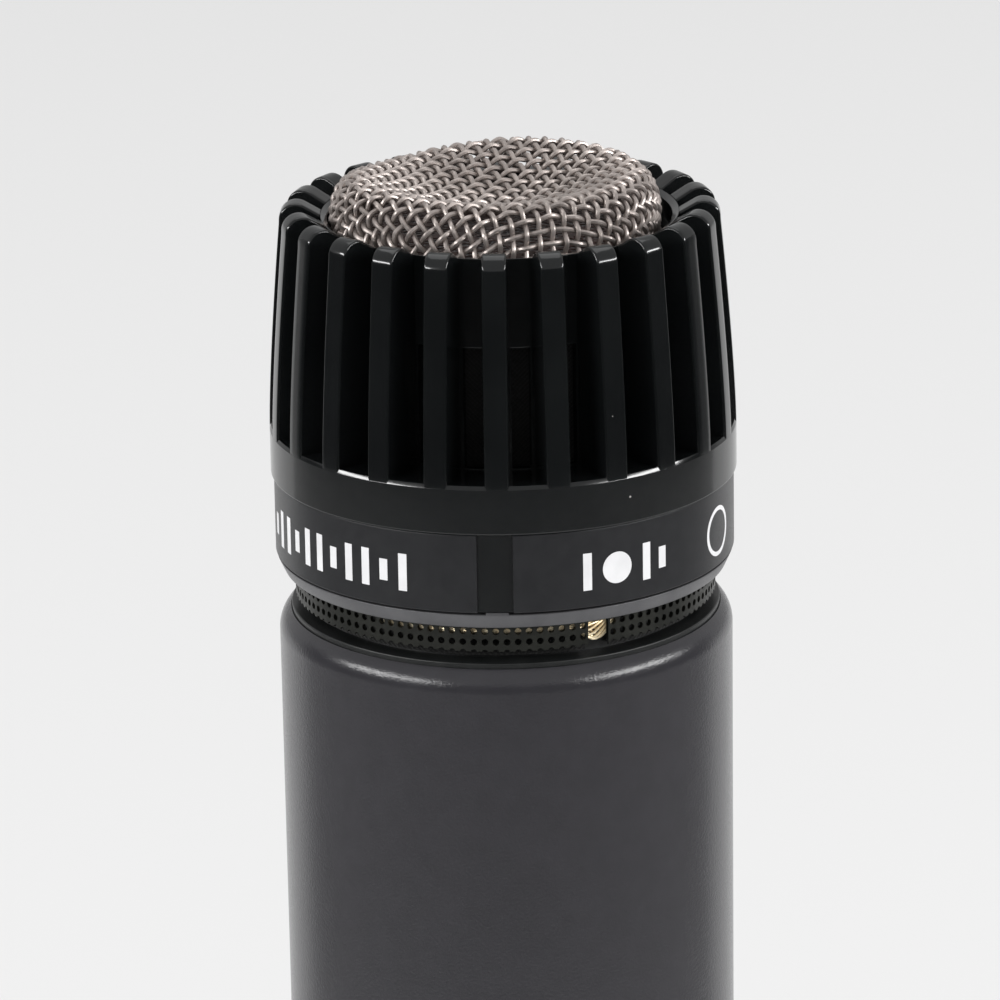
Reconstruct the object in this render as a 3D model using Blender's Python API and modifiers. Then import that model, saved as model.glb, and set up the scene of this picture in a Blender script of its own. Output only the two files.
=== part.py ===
"""Dynamic instrument microphone, built as separate pieces around one upright axis.

Units are metres and +Z is up. The origin is the centre of the handle's open lower end,
so the microphone stands upright on the plane z = 0. The front of the head faces -Y.
"""
from math import cos, pi, radians, sin, tan

import bmesh
import bpy
from mathutils import Matrix, Vector

# ---------------------------------------------------------------- driving dimensions
TOTAL_LENGTH = 0.1570        # lower rim to the crest of the mesh
HEAD_RADIUS = 0.0160         # widest part of the head
BASE_RADIUS = 0.0115         # lower rim of the handle
GAP = 0.0003                 # clearance between pieces that touch
RIB_COUNT = 24

# Smoothness of turned pieces, in steps around the axis
FINE_STEPS = 72
OUTER_STEPS = 48
MIDDLE_STEPS = 36
INNER_STEPS = 24
SMALL_STEPS = 12
MERGE = 1e-6

CUT_DEPTH = 0.0040           # length of a cutter that goes right through a thin wall

# ---------------------------------------------------------------- heights along the axis
SLOT_FLOOR_Z = TOTAL_LENGTH - 0.0180     # ledge that the slots between the ribs end on
RIB_TOP_Z = SLOT_FLOOR_Z + 0.0154
BAND_BOTTOM_Z = SLOT_FLOOR_Z - 0.0034
STRIP_BOTTOM_Z = SLOT_FLOOR_Z - 0.0089
LIP_TOP_Z = STRIP_BOTTOM_Z - GAP
LIP_BOTTOM_Z = LIP_TOP_Z - 0.0009
COLLAR_TOP_Z = SLOT_FLOOR_Z - 0.0128
COLLAR_FLANGE_Z = COLLAR_TOP_Z - 0.0044
HANDLE_TOP_Z = SLOT_FLOOR_Z - 0.01305

# ---------------------------------------------------------------- handle
HANDLE_TOP_RADIUS = 0.01567
HANDLE_TAPER_RADIUS = 0.01561            # radius where the taper starts
HANDLE_TAPER_Z = 0.0940
HANDLE_TAPER_POWER = 1.35
HANDLE_WALL = 0.0022
SHOULDER_WIDTH = 0.00067
SHOULDER_HEIGHT = 0.00155
MOUTH_RADIUS = 0.0149
MOUTH_DEPTH = 0.0085
MOUNT_BORE_RADIUS = 0.01375
SEAT_LEDGE_Z = 0.1067
BASE_CHAMFER = 0.0004
OUTER_STATIONS = (HANDLE_TAPER_Z, 0.080, 0.060, 0.040, 0.020, BASE_CHAMFER)
BORE_STATIONS = (0.028, 0.060, 0.090, SEAT_LEDGE_Z)

# ---------------------------------------------------------------- connector in the handle's lower end
CONNECTOR_BORE_RADIUS = 0.0094
CONNECTOR_DEPTH = 0.0160
INSERT_THICKNESS = 0.0077
INSERT_RADIUS = CONNECTOR_BORE_RADIUS - GAP
PIN_CIRCLE_RADIUS = 0.0038
PIN_RADIUS = 0.0012
PIN_TIP_Z = 0.0026
PIN_TOP_Z = 0.0270
PIN_ANGLES = (150.0, 30.0, 270.0)        # degrees from +X, contacts 1 to 3
LOCK_SCREW_RADIUS = 0.0013
LOCK_SCREW_LENGTH = 0.0038
LOCK_SCREW_SLOT = (0.0031, 0.0010, 0.0004)
LOCK_SCREW_SOCKET = 0.0020               # depth of the hole for its tip in the insert
LOCK_SCREW_Z = CONNECTOR_DEPTH + INSERT_THICKNESS / 2
LATCH_RECESS = (0.0046, 0.0016, 0.0030)
LATCH_RECESS_Z = 0.0105

# ---------------------------------------------------------------- transformer inside the handle
TRANSFORMER_Z = 0.0360
CORE_SIZE = (0.0160, 0.0060, 0.0140)
CORE_LIMB = 0.0040                       # width of the middle limb
CORE_WINDOW = (0.0035, 0.0090)           # width and height of each window
WRAP_OUTER_RADIUS = 0.0106
WRAP_INNER_RADIUS = 0.0090
WRAP_OVERHANG = 0.0020                   # beyond the core at either end
WINDING_CLEARANCE = 0.0010               # total, in front of and behind the core
LEAD_RADIUS = 0.0005
OUTPUT_LEAD_ENDS = ((-0.0030, 0.0010), (0.0030, 0.0010), (0.0, -0.0015))
INPUT_LEAD_START = 0.0030                # sideways from the axis, at the transformer
INPUT_LEAD_END = 0.0008                  # sideways from the axis, at the grommet
INPUT_LEAD_DROP = 0.0017                 # below the air chamber

# ---------------------------------------------------------------- rubber mount of the cartridge
SHOCK_OUTER_RADIUS = 0.01345
SHOCK_INNER_RADIUS = 0.0117
SHOCK_BOTTOM_Z = 0.1090
SHOCK_TOP_Z = COLLAR_FLANGE_Z - GAP
SHOCK_WAIST = 0.0005                     # depth of the hollow round its middle
SHOCK_EDGE = 0.0015                      # straight part above and below the hollow

# ---------------------------------------------------------------- cartridge
COLLAR_RADIUS = MOUTH_RADIUS - GAP
COLLAR_TUBE_RADIUS = 0.0133
COLLAR_TUBE_TOP_Z = 0.1364
COLLAR_NECK_RADIUS = SHOCK_INNER_RADIUS - GAP
COLLAR_NECK_BOTTOM_Z = 0.1120
COLLAR_NECK_WALL = 0.0012
COLLAR_BORE_RADIUS = 0.0110
COLLAR_EDGE = 0.0003
SNAP_RING_Z = 0.1323
SNAP_RING_HEIGHT = 0.0008
SNAP_RING_SPLIT = 0.0040
SNAP_GROOVE_DEPTH = 0.0008
VENT_RING_RADIUS = 0.0145
VENT_SHEET = 0.0003
VENT_TOP_Z = 0.1296
VENT_WINDOW_ANGLE = 27.8                 # degrees from the front towards +X
VENT_WINDOW_SIZE = 0.0010
VENT_CUT_DEPTH = 0.0016
FELT_GAP_SIZE = (0.0020, 0.0018, 0.0100)
COIL_LEAD_RADIUS = 0.0002
COIL_LEAD_BEND = ((-1.2, 0.0001), (-0.6, 0.0007), (0.4, 0.0014), (0.9, 0.0021), (1.0, 0.0028))
HOUSING_RADIUS = COLLAR_BORE_RADIUS - GAP
HOUSING_WALL = 0.0009
HOUSING_FLOOR = 0.0012
HOUSING_HOLE_RADIUS = 0.0020
BOARD_RADIUS = 0.0075
BOARD_THICKNESS = 0.0012
HOUSING_BOTTOM_Z = 0.1280
HOUSING_TOP_Z = 0.1499
YOKE_RADIUS = 0.0095
YOKE_BOTTOM_Z = 0.1340
YOKE_TOP_Z = 0.1446
YOKE_FLOOR = 0.0016
YOKE_WALL = 0.0013
MAGNET_RADIUS = 0.0056
MAGNET_TOP_Z = 0.1420
POLE_RADIUS = 0.0052
POLE_TOP_Z = 0.1464
COIL_WALL = 0.0004
COIL_BOTTOM_Z = 0.1442
COIL_TOP_Z = 0.1477
CHAMBER_RADIUS = 0.0110
CHAMBER_WALL = 0.0006
CHAMBER_BOTTOM_Z = 0.0880
GROMMET_RADIUS = 0.0017
GROMMET_FLANGE = 0.0011
GROMMET_THICKNESS = 0.0008               # of its flange, below the chamber
GROMMET_PLUG = 0.0006                    # height inside the chamber

# ---------------------------------------------------------------- diaphragm
DIAPHRAGM_RADIUS = 0.0093
DIAPHRAGM_Z = 0.1480
DIAPHRAGM_SHEET = 0.0003
DOME_HEIGHT = 0.0012
SURROUND_HEIGHT = 0.0005
FILM_STATIONS = 3                        # steps across the dome, and across the surround

# ---------------------------------------------------------------- head that turns on the cartridge
RIB_WIDTH = 0.00163
RIB_TOP_RADIUS = 0.0150                  # outer side of a rib where its upper corner starts
RIB_CORNER = 0.00115                     # rounding of that corner
RIB_SIDE_HEIGHT = 0.0141                 # from the slot floor to that corner
RIB_LEAN_POWER = 1.35
RIB_SIDE_RISES = (RIB_SIDE_HEIGHT, 0.0105, 0.0070, 0.0035, 0.0)
RIB_SLOPE = 30.0                         # degrees that its upper end falls towards the mesh
RIB_INNER_RADIUS = 0.01245               # inner end of the sloping part
SHELL_INNER_RADIUS = 0.0117
SLOT_WALL_RADIUS = 0.0122                # back wall of the slots
SLOT_OUTER_RADIUS = 0.0175               # beyond the ribs
SLOT_CUT_HEIGHT = 0.0200                 # up past the ribs
RETAINER_LEDGE_Z = SLOT_FLOOR_Z + 0.0130
WINDOW_WIDTH = 0.0013
WINDOW_SILL = 0.0004
WINDOW_TOP_Z = SLOT_FLOOR_Z + 0.0084
WINDOW_CUT_RADIUS = 0.0119               # middle of the cut through the slots' back wall
WINDOW_CUT_DEPTH = 0.0014
SHELL_BORE_RADIUS = COLLAR_TUBE_RADIUS + GAP
SHELL_BORE_TOP_Z = 0.1377
STRIP_RADIUS = 0.0158
STRIP_THICKNESS = 0.00035
STRIP_BED_RADIUS = STRIP_RADIUS - STRIP_THICKNESS - GAP
STRIP_END_GAP = (0.0023, CUT_DEPTH, 0.0100)
LIP_TOP_RADIUS = 0.01572
LIP_BOTTOM_RADIUS = 0.01526
PLATE_Z = 0.1503
PLATE_THICKNESS = 0.0007
PLATE_HOLES = 6
PLATE_HOLE_RADIUS = 0.0015
PLATE_HOLE_CIRCLE = 0.0070
PORT_CLOTH_THICKNESS = 0.0003
DISH_POWER = 1.5                         # how fast the mesh's hollow falls from the crest
SKIN_STATIONS = 4                        # steps across the hollow
SIDE_STATIONS = 3                        # steps from the crest to the widest part
MESH_THICKNESS = 0.0008
MESH_WIDEST_RADIUS = 0.01138
MESH_WIDEST_Z = SLOT_FLOOR_Z + 0.0148
MESH_CREST_RADIUS = 0.0095
MESH_CENTRE_DROP = 0.0028
MESH_CREST_FLAT = 0.0004                 # half width of the flat under the crest
MESH_CREST_STEP = 0.0006                 # its fall towards the side
MESH_FOOT_RADIUS = 0.0111
PLATE_RADIUS = SHELL_INNER_RADIUS - GAP
FILTER_RADIUS = 0.0100

MATERIALS = {
    # name: (linear colour, roughness, metallic)
    "handle_paint": ((0.045, 0.045, 0.047), 0.45, 0.2),
    "gloss_moulding": ((0.008, 0.008, 0.009), 0.22, 0.0),
    "strip_black": ((0.020, 0.020, 0.021), 0.50, 0.0),
    "lip_grey": ((0.120, 0.120, 0.125), 0.40, 0.0),
    "dark_moulding": ((0.012, 0.012, 0.012), 0.50, 0.0),
    "mesh_wire": ((0.300, 0.265, 0.240), 0.38, 0.9),
    "vent_metal": ((0.060, 0.058, 0.055), 0.40, 0.8),
    "black_cloth": ((0.010, 0.009, 0.009), 0.95, 0.0),
    "filter_foam": ((0.055, 0.030, 0.022), 0.95, 0.0),
    "copper": ((0.720, 0.360, 0.180), 0.30, 1.0),
    "soft_iron": ((0.350, 0.350, 0.360), 0.40, 1.0),
    "magnet_alloy": ((0.220, 0.220, 0.230), 0.45, 1.0),
    "clear_film": ((0.600, 0.580, 0.500), 0.20, 0.0),
    "board_brown": ((0.250, 0.130, 0.050), 0.60, 0.0),
    "tin_plate": ((0.550, 0.550, 0.560), 0.35, 1.0),
    "rubber_black": ((0.015, 0.015, 0.015), 0.80, 0.0),
    "insert_green": ((0.020, 0.060, 0.045), 0.50, 0.0),
    "pin_silver": ((0.800, 0.800, 0.780), 0.20, 1.0),
    "screw_steel": ((0.400, 0.400, 0.410), 0.35, 1.0),
    "core_steel": ((0.250, 0.240, 0.230), 0.50, 1.0),
    "winding": ((0.450, 0.120, 0.040), 0.45, 0.6),
    "wrap_foam": ((0.180, 0.180, 0.170), 0.95, 0.0),
    "lead_red": ((0.450, 0.020, 0.015), 0.45, 0.0),
    "lead_black": ((0.015, 0.015, 0.015), 0.45, 0.0),
    "lead_white": ((0.700, 0.690, 0.650), 0.45, 0.0),
}


# ---------------------------------------------------------------- scene helpers
def clear_scene():
    for existing in list(bpy.data.objects):
        bpy.data.objects.remove(existing, do_unlink=True)


def new_collection(name):
    collection = bpy.data.collections.new(name)
    bpy.context.scene.collection.children.link(collection)
    return collection


def make_materials():
    made = {}
    for name, (colour, roughness, metallic) in MATERIALS.items():
        material = bpy.data.materials.new(name)
        material.use_nodes = True
        shader = material.node_tree.nodes["Principled BSDF"]
        shader.inputs["Base Color"].default_value = (*colour, 1.0)
        shader.inputs["Roughness"].default_value = roughness
        shader.inputs["Metallic"].default_value = metallic
        made[name] = material
    return made


clear_scene()
PARTS = new_collection("dynamic_microphone")
CUTTERS = new_collection("cutters")
MATERIAL = make_materials()


def joint_empty(name, height, parent=None):
    """An empty on the microphone's axis; the pieces of one moving body are its children."""
    empty = bpy.data.objects.new(name, None)
    empty.empty_display_size = 0.01
    empty.parent = parent
    empty.location.z = height - (parent.matrix_world.translation.z if parent else 0.0)
    PARTS.objects.link(empty)
    bpy.context.view_layer.update()
    return empty


def add_part(name, mesh, material, origin, body):
    """Link a mesh as one named piece, with its origin at a world position, under its body's empty."""
    mesh.materials.append(MATERIAL[material])
    part = bpy.data.objects.new(name, mesh)
    part.parent = body
    part.location = Vector(origin) - (body.matrix_world.translation if body else Vector())
    PARTS.objects.link(part)
    return part


def screw_profile(target, steps):
    screw = target.modifiers.new("turn", "SCREW")
    screw.axis = "Z"
    screw.angle = 2 * pi
    screw.steps = steps
    screw.render_steps = steps
    screw.use_merge_vertices = True
    screw.merge_threshold = MERGE
    screw.use_smooth_shade = True


def turned(name, profile, material, body, steps=INNER_STEPS):
    """Turn (radius, height) points about the axis. They run down the outer side of the piece.

    A profile that starts and ends on the axis is solid there; any other one closes into a ring.
    """
    base = min(height for _, height in profile)
    points = [(radius, 0.0, height - base) for radius, height in profile]
    edges = [(index, index + 1) for index in range(len(points) - 1)]
    if profile[0][0] > 0:
        edges.append((len(points) - 1, 0))
    mesh = bpy.data.meshes.new(name)
    mesh.from_pydata(points, edges, [])
    part = add_part(name, mesh, material, (0.0, 0.0, base), body)
    screw_profile(part, steps)
    return part


def ring(name, outer, inner, low, high, material, body, steps=INNER_STEPS):
    profile = [(outer, high), (outer, low), (inner, low), (inner, high)]
    return turned(name, profile, material, body, steps)


def disc(name, radius, low, high, material, body, steps=INNER_STEPS):
    profile = [(0.0, high), (radius, high), (radius, low), (0.0, low)]
    return turned(name, profile, material, body, steps)


def lead(name, points, radius, material, body):
    """A wire through points, as a curve with filled ends."""
    curve = bpy.data.curves.new(name, "CURVE")
    curve.dimensions = "3D"
    curve.bevel_depth = radius
    curve.bevel_resolution = 2
    curve.use_fill_caps = True
    spline = curve.splines.new("POLY")
    spline.points.add(len(points) - 1)
    origin = Vector(points[0])
    for target, point in zip(spline.points, points):
        target.co = (*(Vector(point) - origin), 1.0)
    return add_part(name, curve, material, origin, body)


def eased_path(start, end, count=7):
    """Points from start to end that leave and arrive straight up."""
    path = []
    for index in range(count):
        t = index / (count - 1)
        side = t * t * (3 - 2 * t)
        path.append((start[0] + (end[0] - start[0]) * side,
                     start[1] + (end[1] - start[1]) * side,
                     start[2] + (end[2] - start[2]) * t))
    return path


# ---------------------------------------------------------------- cutters
def cut(part, cutter):
    """Subtract a closed cutter from a part."""
    cutter.hide_render = True
    cutter.display_type = "WIRE"
    boolean = part.modifiers.new(cutter.name, "BOOLEAN")
    boolean.operation = "DIFFERENCE"
    boolean.solver = "EXACT"
    boolean.object = cutter


def cutter_object(name, shape):
    mesh = bpy.data.meshes.new(name)
    shape.to_mesh(mesh)
    shape.free()
    cutter = bpy.data.objects.new(name, mesh)
    CUTTERS.objects.link(cutter)
    return cutter


def box_cutter(name, centres, size, turns):
    """Boxes of one size, each at its centre and turned about Z by its own angle in degrees."""
    shape = bmesh.new()
    for centre, turn in zip(centres, turns):
        place = Matrix.Translation(centre) @ Matrix.Rotation(radians(turn), 4, "Z")
        bmesh.ops.create_cube(shape, size=1.0, matrix=place @ Matrix.Diagonal((*size, 1.0)))
    return cutter_object(name, shape)


def rod_cutter(name, centres, radius, depth, axis="Z", segments=SMALL_STEPS):
    """Round rods of one size along Z, or along Y."""
    tilt = Matrix.Rotation(pi / 2, 4, "X") if axis == "Y" else Matrix.Identity(4)
    shape = bmesh.new()
    for centre in centres:
        bmesh.ops.create_cone(shape, cap_ends=True, segments=segments, radius1=radius, radius2=radius,
                              depth=depth, matrix=Matrix.Translation(centre) @ tilt)
    return cutter_object(name, shape)


def on_circle(radius, angle, height=0.0):
    """A point at an angle in degrees from +X."""
    return (radius * cos(radians(angle)), radius * sin(radians(angle)), height)


def front_angle(angle):
    """Degrees from +X of a direction given in degrees from the front (-Y) towards +X."""
    return angle - 90.0


# ---------------------------------------------------------------- handle and connector
def handle_radius(height):
    """Outer radius: nearly straight in the upper third, then an easing taper to the base."""
    if height >= HANDLE_TAPER_Z:
        rise = (height - HANDLE_TAPER_Z) / (HANDLE_TOP_Z - HANDLE_TAPER_Z)
        return HANDLE_TAPER_RADIUS + (HANDLE_TOP_RADIUS - HANDLE_TAPER_RADIUS) * rise
    drop = 1 - height / HANDLE_TAPER_Z
    return HANDLE_TAPER_RADIUS - (HANDLE_TAPER_RADIUS - BASE_RADIUS) * drop ** HANDLE_TAPER_POWER


def shoulder_points(count=4):
    """Quarter ellipse from the mouth's edge down to the handle's side."""
    centre_radius = HANDLE_TOP_RADIUS - SHOULDER_WIDTH
    centre_height = HANDLE_TOP_Z - SHOULDER_HEIGHT
    points = []
    for index in range(count + 1):
        angle = pi / 2 * (1 - index / count)
        points.append((centre_radius + SHOULDER_WIDTH * cos(angle),
                       centre_height + SHOULDER_HEIGHT * sin(angle)))
    return points


def make_handle():
    outer = shoulder_points() + [(handle_radius(height), height) for height in OUTER_STATIONS]
    base = [(handle_radius(0.0) - BASE_CHAMFER, 0.0), (CONNECTOR_BORE_RADIUS, 0.0)]
    insert_top = CONNECTOR_DEPTH + INSERT_THICKNESS + GAP
    bore = [(CONNECTOR_BORE_RADIUS, insert_top)]
    bore += [(handle_radius(height) - HANDLE_WALL, height) for height in BORE_STATIONS]
    mouth = [(MOUNT_BORE_RADIUS, SEAT_LEDGE_Z), (MOUNT_BORE_RADIUS, HANDLE_TOP_Z - MOUTH_DEPTH),
             (MOUTH_RADIUS, HANDLE_TOP_Z - MOUTH_DEPTH), (MOUTH_RADIUS, HANDLE_TOP_Z)]
    handle = turned("handle", outer + base + bore + mouth, "handle_paint", None, OUTER_STEPS)
    cut(handle, rod_cutter("lock_screw_hole", [(0.0, BASE_RADIUS, LOCK_SCREW_Z)],
                           LOCK_SCREW_RADIUS + GAP, 2 * HANDLE_WALL + CUT_DEPTH, "Y"))
    cut(handle, box_cutter("latch_recess", [(0.0, CONNECTOR_BORE_RADIUS, LATCH_RECESS_Z)],
                           LATCH_RECESS, [0.0]))


def make_connector():
    low = CONNECTOR_DEPTH
    high = CONNECTOR_DEPTH + INSERT_THICKNESS
    insert = disc("connector_insert", INSERT_RADIUS, low, high, "insert_green", None)
    holes = [on_circle(PIN_CIRCLE_RADIUS, angle, (low + high) / 2) for angle in PIN_ANGLES]
    cut(insert, rod_cutter("pin_holes", holes, PIN_RADIUS + GAP, 2 * INSERT_THICKNESS))
    cut(insert, rod_cutter("lock_screw_socket", [(0.0, INSERT_RADIUS, LOCK_SCREW_Z)],
                           LOCK_SCREW_RADIUS + GAP, 2 * LOCK_SCREW_SOCKET, "Y"))
    for number, angle in enumerate(PIN_ANGLES, start=1):
        make_pin("contact_pin_%d" % number, on_circle(PIN_CIRCLE_RADIUS, angle))
    make_lock_screw()


def make_pin(name, place):
    """A contact pin with a domed tip below and a solder end above."""
    tip = 0.6 * PIN_RADIUS
    profile = [(0.0, PIN_TOP_Z), (0.8 * PIN_RADIUS, PIN_TOP_Z), (PIN_RADIUS, PIN_TOP_Z - tip / 2),
               (PIN_RADIUS, PIN_TIP_Z + tip), (0.75 * PIN_RADIUS, PIN_TIP_Z + tip / 3), (0.0, PIN_TIP_Z)]
    pin = turned(name, profile, "pin_silver", None, SMALL_STEPS)
    pin.location.x = place[0]
    pin.location.y = place[1]


def make_lock_screw():
    """Set screw along Y that holds the insert in the handle."""
    shape = bmesh.new()
    bmesh.ops.create_cone(shape, cap_ends=True, segments=SMALL_STEPS, radius1=LOCK_SCREW_RADIUS,
                          radius2=LOCK_SCREW_RADIUS, depth=LOCK_SCREW_LENGTH,
                          matrix=Matrix.Rotation(pi / 2, 4, "X"))
    mesh = bpy.data.meshes.new("connector_screw")
    shape.to_mesh(mesh)
    shape.free()
    inner_end = INSERT_RADIUS - LOCK_SCREW_SOCKET + GAP
    middle = (0.0, inner_end + LOCK_SCREW_LENGTH / 2, LOCK_SCREW_Z)
    screw = add_part("connector_screw", mesh, "screw_steel", middle, None)
    outer_end = (0.0, inner_end + LOCK_SCREW_LENGTH, LOCK_SCREW_Z)
    cut(screw, box_cutter("screw_slot", [outer_end], LOCK_SCREW_SLOT, [0.0]))


# ---------------------------------------------------------------- transformer and leads
def make_box(name, size, material, centre, body):
    shape = bmesh.new()
    bmesh.ops.create_cube(shape, size=1.0, matrix=Matrix.Diagonal((*size, 1.0)))
    mesh = bpy.data.meshes.new(name)
    shape.to_mesh(mesh)
    shape.free()
    return add_part(name, mesh, material, centre, body)


def make_transformer():
    """A shell core: the winding goes round its middle limb and through its two windows."""
    middle = TRANSFORMER_Z + CORE_SIZE[2] / 2
    core = make_box("transformer_core", CORE_SIZE, "core_steel", (0.0, 0.0, middle), None)
    window_x = CORE_LIMB / 2 + CORE_WINDOW[0] / 2
    window = (CORE_WINDOW[0], 2 * CORE_SIZE[1], CORE_WINDOW[1])
    centres = [(-window_x, 0.0, middle), (window_x, 0.0, middle)]
    cut(core, box_cutter("core_windows", centres, window, [0.0, 0.0]))
    coil_width = 2 * (CORE_LIMB / 2 + CORE_WINDOW[0] - GAP)
    coil_depth = CORE_SIZE[1] + 2 * CORE_WINDOW[0] - WINDING_CLEARANCE
    coil_height = CORE_WINDOW[1] - 2 * GAP
    coil = make_box("transformer_coil", (coil_width, coil_depth, coil_height), "winding",
                    (0.0, 0.0, middle), None)
    limb_hole = (CORE_LIMB + 2 * GAP, CORE_SIZE[1] + 2 * GAP, 2 * coil_height)
    cut(coil, box_cutter("limb_hole", [(0.0, 0.0, middle)], limb_hole, [0.0]))
    ring("transformer_wrap", WRAP_OUTER_RADIUS, WRAP_INNER_RADIUS, TRANSFORMER_Z - WRAP_OVERHANG,
         TRANSFORMER_Z + CORE_SIZE[2] + WRAP_OVERHANG, "wrap_foam", None)


def make_leads():
    """Three leads from the pins to the transformer, and two from it to the cartridge."""
    low = PIN_TOP_Z + GAP
    high = TRANSFORMER_Z - GAP
    colours = ("lead_black", "lead_red", "lead_white")
    for number, angle in enumerate(PIN_ANGLES):
        start = on_circle(PIN_CIRCLE_RADIUS, angle, low)
        end = (*OUTPUT_LEAD_ENDS[number], high)
        lead("output_lead_%d" % (number + 1), eased_path(start, end), LEAD_RADIUS, colours[number], None)
    low = TRANSFORMER_Z + CORE_SIZE[2] + GAP
    high = CHAMBER_BOTTOM_Z - INPUT_LEAD_DROP
    for number, side in enumerate((-1, 1)):
        start = (side * INPUT_LEAD_START, 0.0, low)
        end = (side * INPUT_LEAD_END, 0.0, high)
        lead("input_lead_%d" % (number + 1), eased_path(start, end, 9), LEAD_RADIUS, colours[number], None)


# ---------------------------------------------------------------- shock mount
def make_shock_mount():
    seat_low = SEAT_LEDGE_Z + GAP
    ring("mount_seat_ring", SHOCK_OUTER_RADIUS, SHOCK_INNER_RADIUS, seat_low, SHOCK_BOTTOM_Z - GAP,
         "tin_plate", None)
    middle = (SHOCK_BOTTOM_Z + SHOCK_TOP_Z) / 2
    profile = [(SHOCK_OUTER_RADIUS, SHOCK_TOP_Z), (SHOCK_OUTER_RADIUS, SHOCK_TOP_Z - SHOCK_EDGE),
               (SHOCK_OUTER_RADIUS - SHOCK_WAIST, middle), (SHOCK_OUTER_RADIUS, SHOCK_BOTTOM_Z + SHOCK_EDGE),
               (SHOCK_OUTER_RADIUS, SHOCK_BOTTOM_Z), (SHOCK_INNER_RADIUS, SHOCK_BOTTOM_Z),
               (SHOCK_INNER_RADIUS, SHOCK_TOP_Z)]
    turned("shock_mount", profile, "rubber_black", None)


# ---------------------------------------------------------------- cartridge
def make_collar(body):
    """Sleeve that carries the cartridge: neck in the rubber mount, flange in the handle's mouth, tube."""
    groove_radius = COLLAR_TUBE_RADIUS - SNAP_GROOVE_DEPTH
    groove_low = SNAP_RING_Z - GAP
    groove_high = SNAP_RING_Z + SNAP_RING_HEIGHT + GAP
    neck_bore = COLLAR_NECK_RADIUS - COLLAR_NECK_WALL
    housing_seat = HOUSING_BOTTOM_Z - GAP
    profile = [(COLLAR_TUBE_RADIUS, COLLAR_TUBE_TOP_Z), (COLLAR_TUBE_RADIUS, groove_high),
               (groove_radius, groove_high), (groove_radius, groove_low),
               (COLLAR_TUBE_RADIUS, groove_low), (COLLAR_TUBE_RADIUS, COLLAR_TOP_Z),
               (COLLAR_RADIUS - COLLAR_EDGE, COLLAR_TOP_Z), (COLLAR_RADIUS, COLLAR_TOP_Z - COLLAR_EDGE),
               (COLLAR_RADIUS, COLLAR_FLANGE_Z), (COLLAR_NECK_RADIUS, COLLAR_FLANGE_Z),
               (COLLAR_NECK_RADIUS, COLLAR_NECK_BOTTOM_Z), (neck_bore, COLLAR_NECK_BOTTOM_Z),
               (neck_bore, housing_seat), (COLLAR_BORE_RADIUS, housing_seat),
               (COLLAR_BORE_RADIUS, COLLAR_TUBE_TOP_Z)]
    turned("cartridge_collar", profile, "dark_moulding", body, MIDDLE_STEPS)


def make_snap_ring(body):
    """Split ring that sits half in the collar's groove and half in the shell's."""
    inner = COLLAR_TUBE_RADIUS - SNAP_GROOVE_DEPTH + GAP
    outer = SHELL_BORE_RADIUS + SNAP_GROOVE_DEPTH - GAP
    snap = ring("snap_ring", outer, inner, SNAP_RING_Z, SNAP_RING_Z + SNAP_RING_HEIGHT, "screw_steel", body)
    split = on_circle((inner + outer) / 2, 90.0, SNAP_RING_Z)
    cut(snap, box_cutter("snap_ring_split", [split], (SNAP_RING_SPLIT, CUT_DEPTH, CUT_DEPTH), [0.0]))


def make_vents(body):
    """Perforated ring, the felt behind it, and the lead that shows in its window."""
    low = COLLAR_TOP_Z + GAP
    inner = VENT_RING_RADIUS - VENT_SHEET
    felt_outer = inner - GAP
    felt_inner = COLLAR_TUBE_RADIUS + GAP
    vent = ring("vent_ring", VENT_RING_RADIUS, inner, low, VENT_TOP_Z, "vent_metal", body, MIDDLE_STEPS)
    felt = ring("vent_felt", felt_outer, felt_inner, low, VENT_TOP_Z, "black_cloth", body, MIDDLE_STEPS)
    middle = (low + LIP_BOTTOM_Z) / 2
    turn = front_angle(VENT_WINDOW_ANGLE)
    window = on_circle(inner, turn, middle)
    size = VENT_WINDOW_SIZE
    cut(vent, box_cutter("vent_window", [window], (VENT_CUT_DEPTH, size, size), [turn]))
    felt_gap = on_circle((felt_outer + felt_inner) / 2, turn, middle)
    cut(felt, box_cutter("felt_gap", [felt_gap], FELT_GAP_SIZE, [turn]))
    wire_centre = felt_inner + COIL_LEAD_RADIUS
    path = [on_circle(wire_centre, turn + lean, low + rise) for lean, rise in COIL_LEAD_BEND]
    lead("coil_lead", path, COIL_LEAD_RADIUS, "copper", body)


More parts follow.
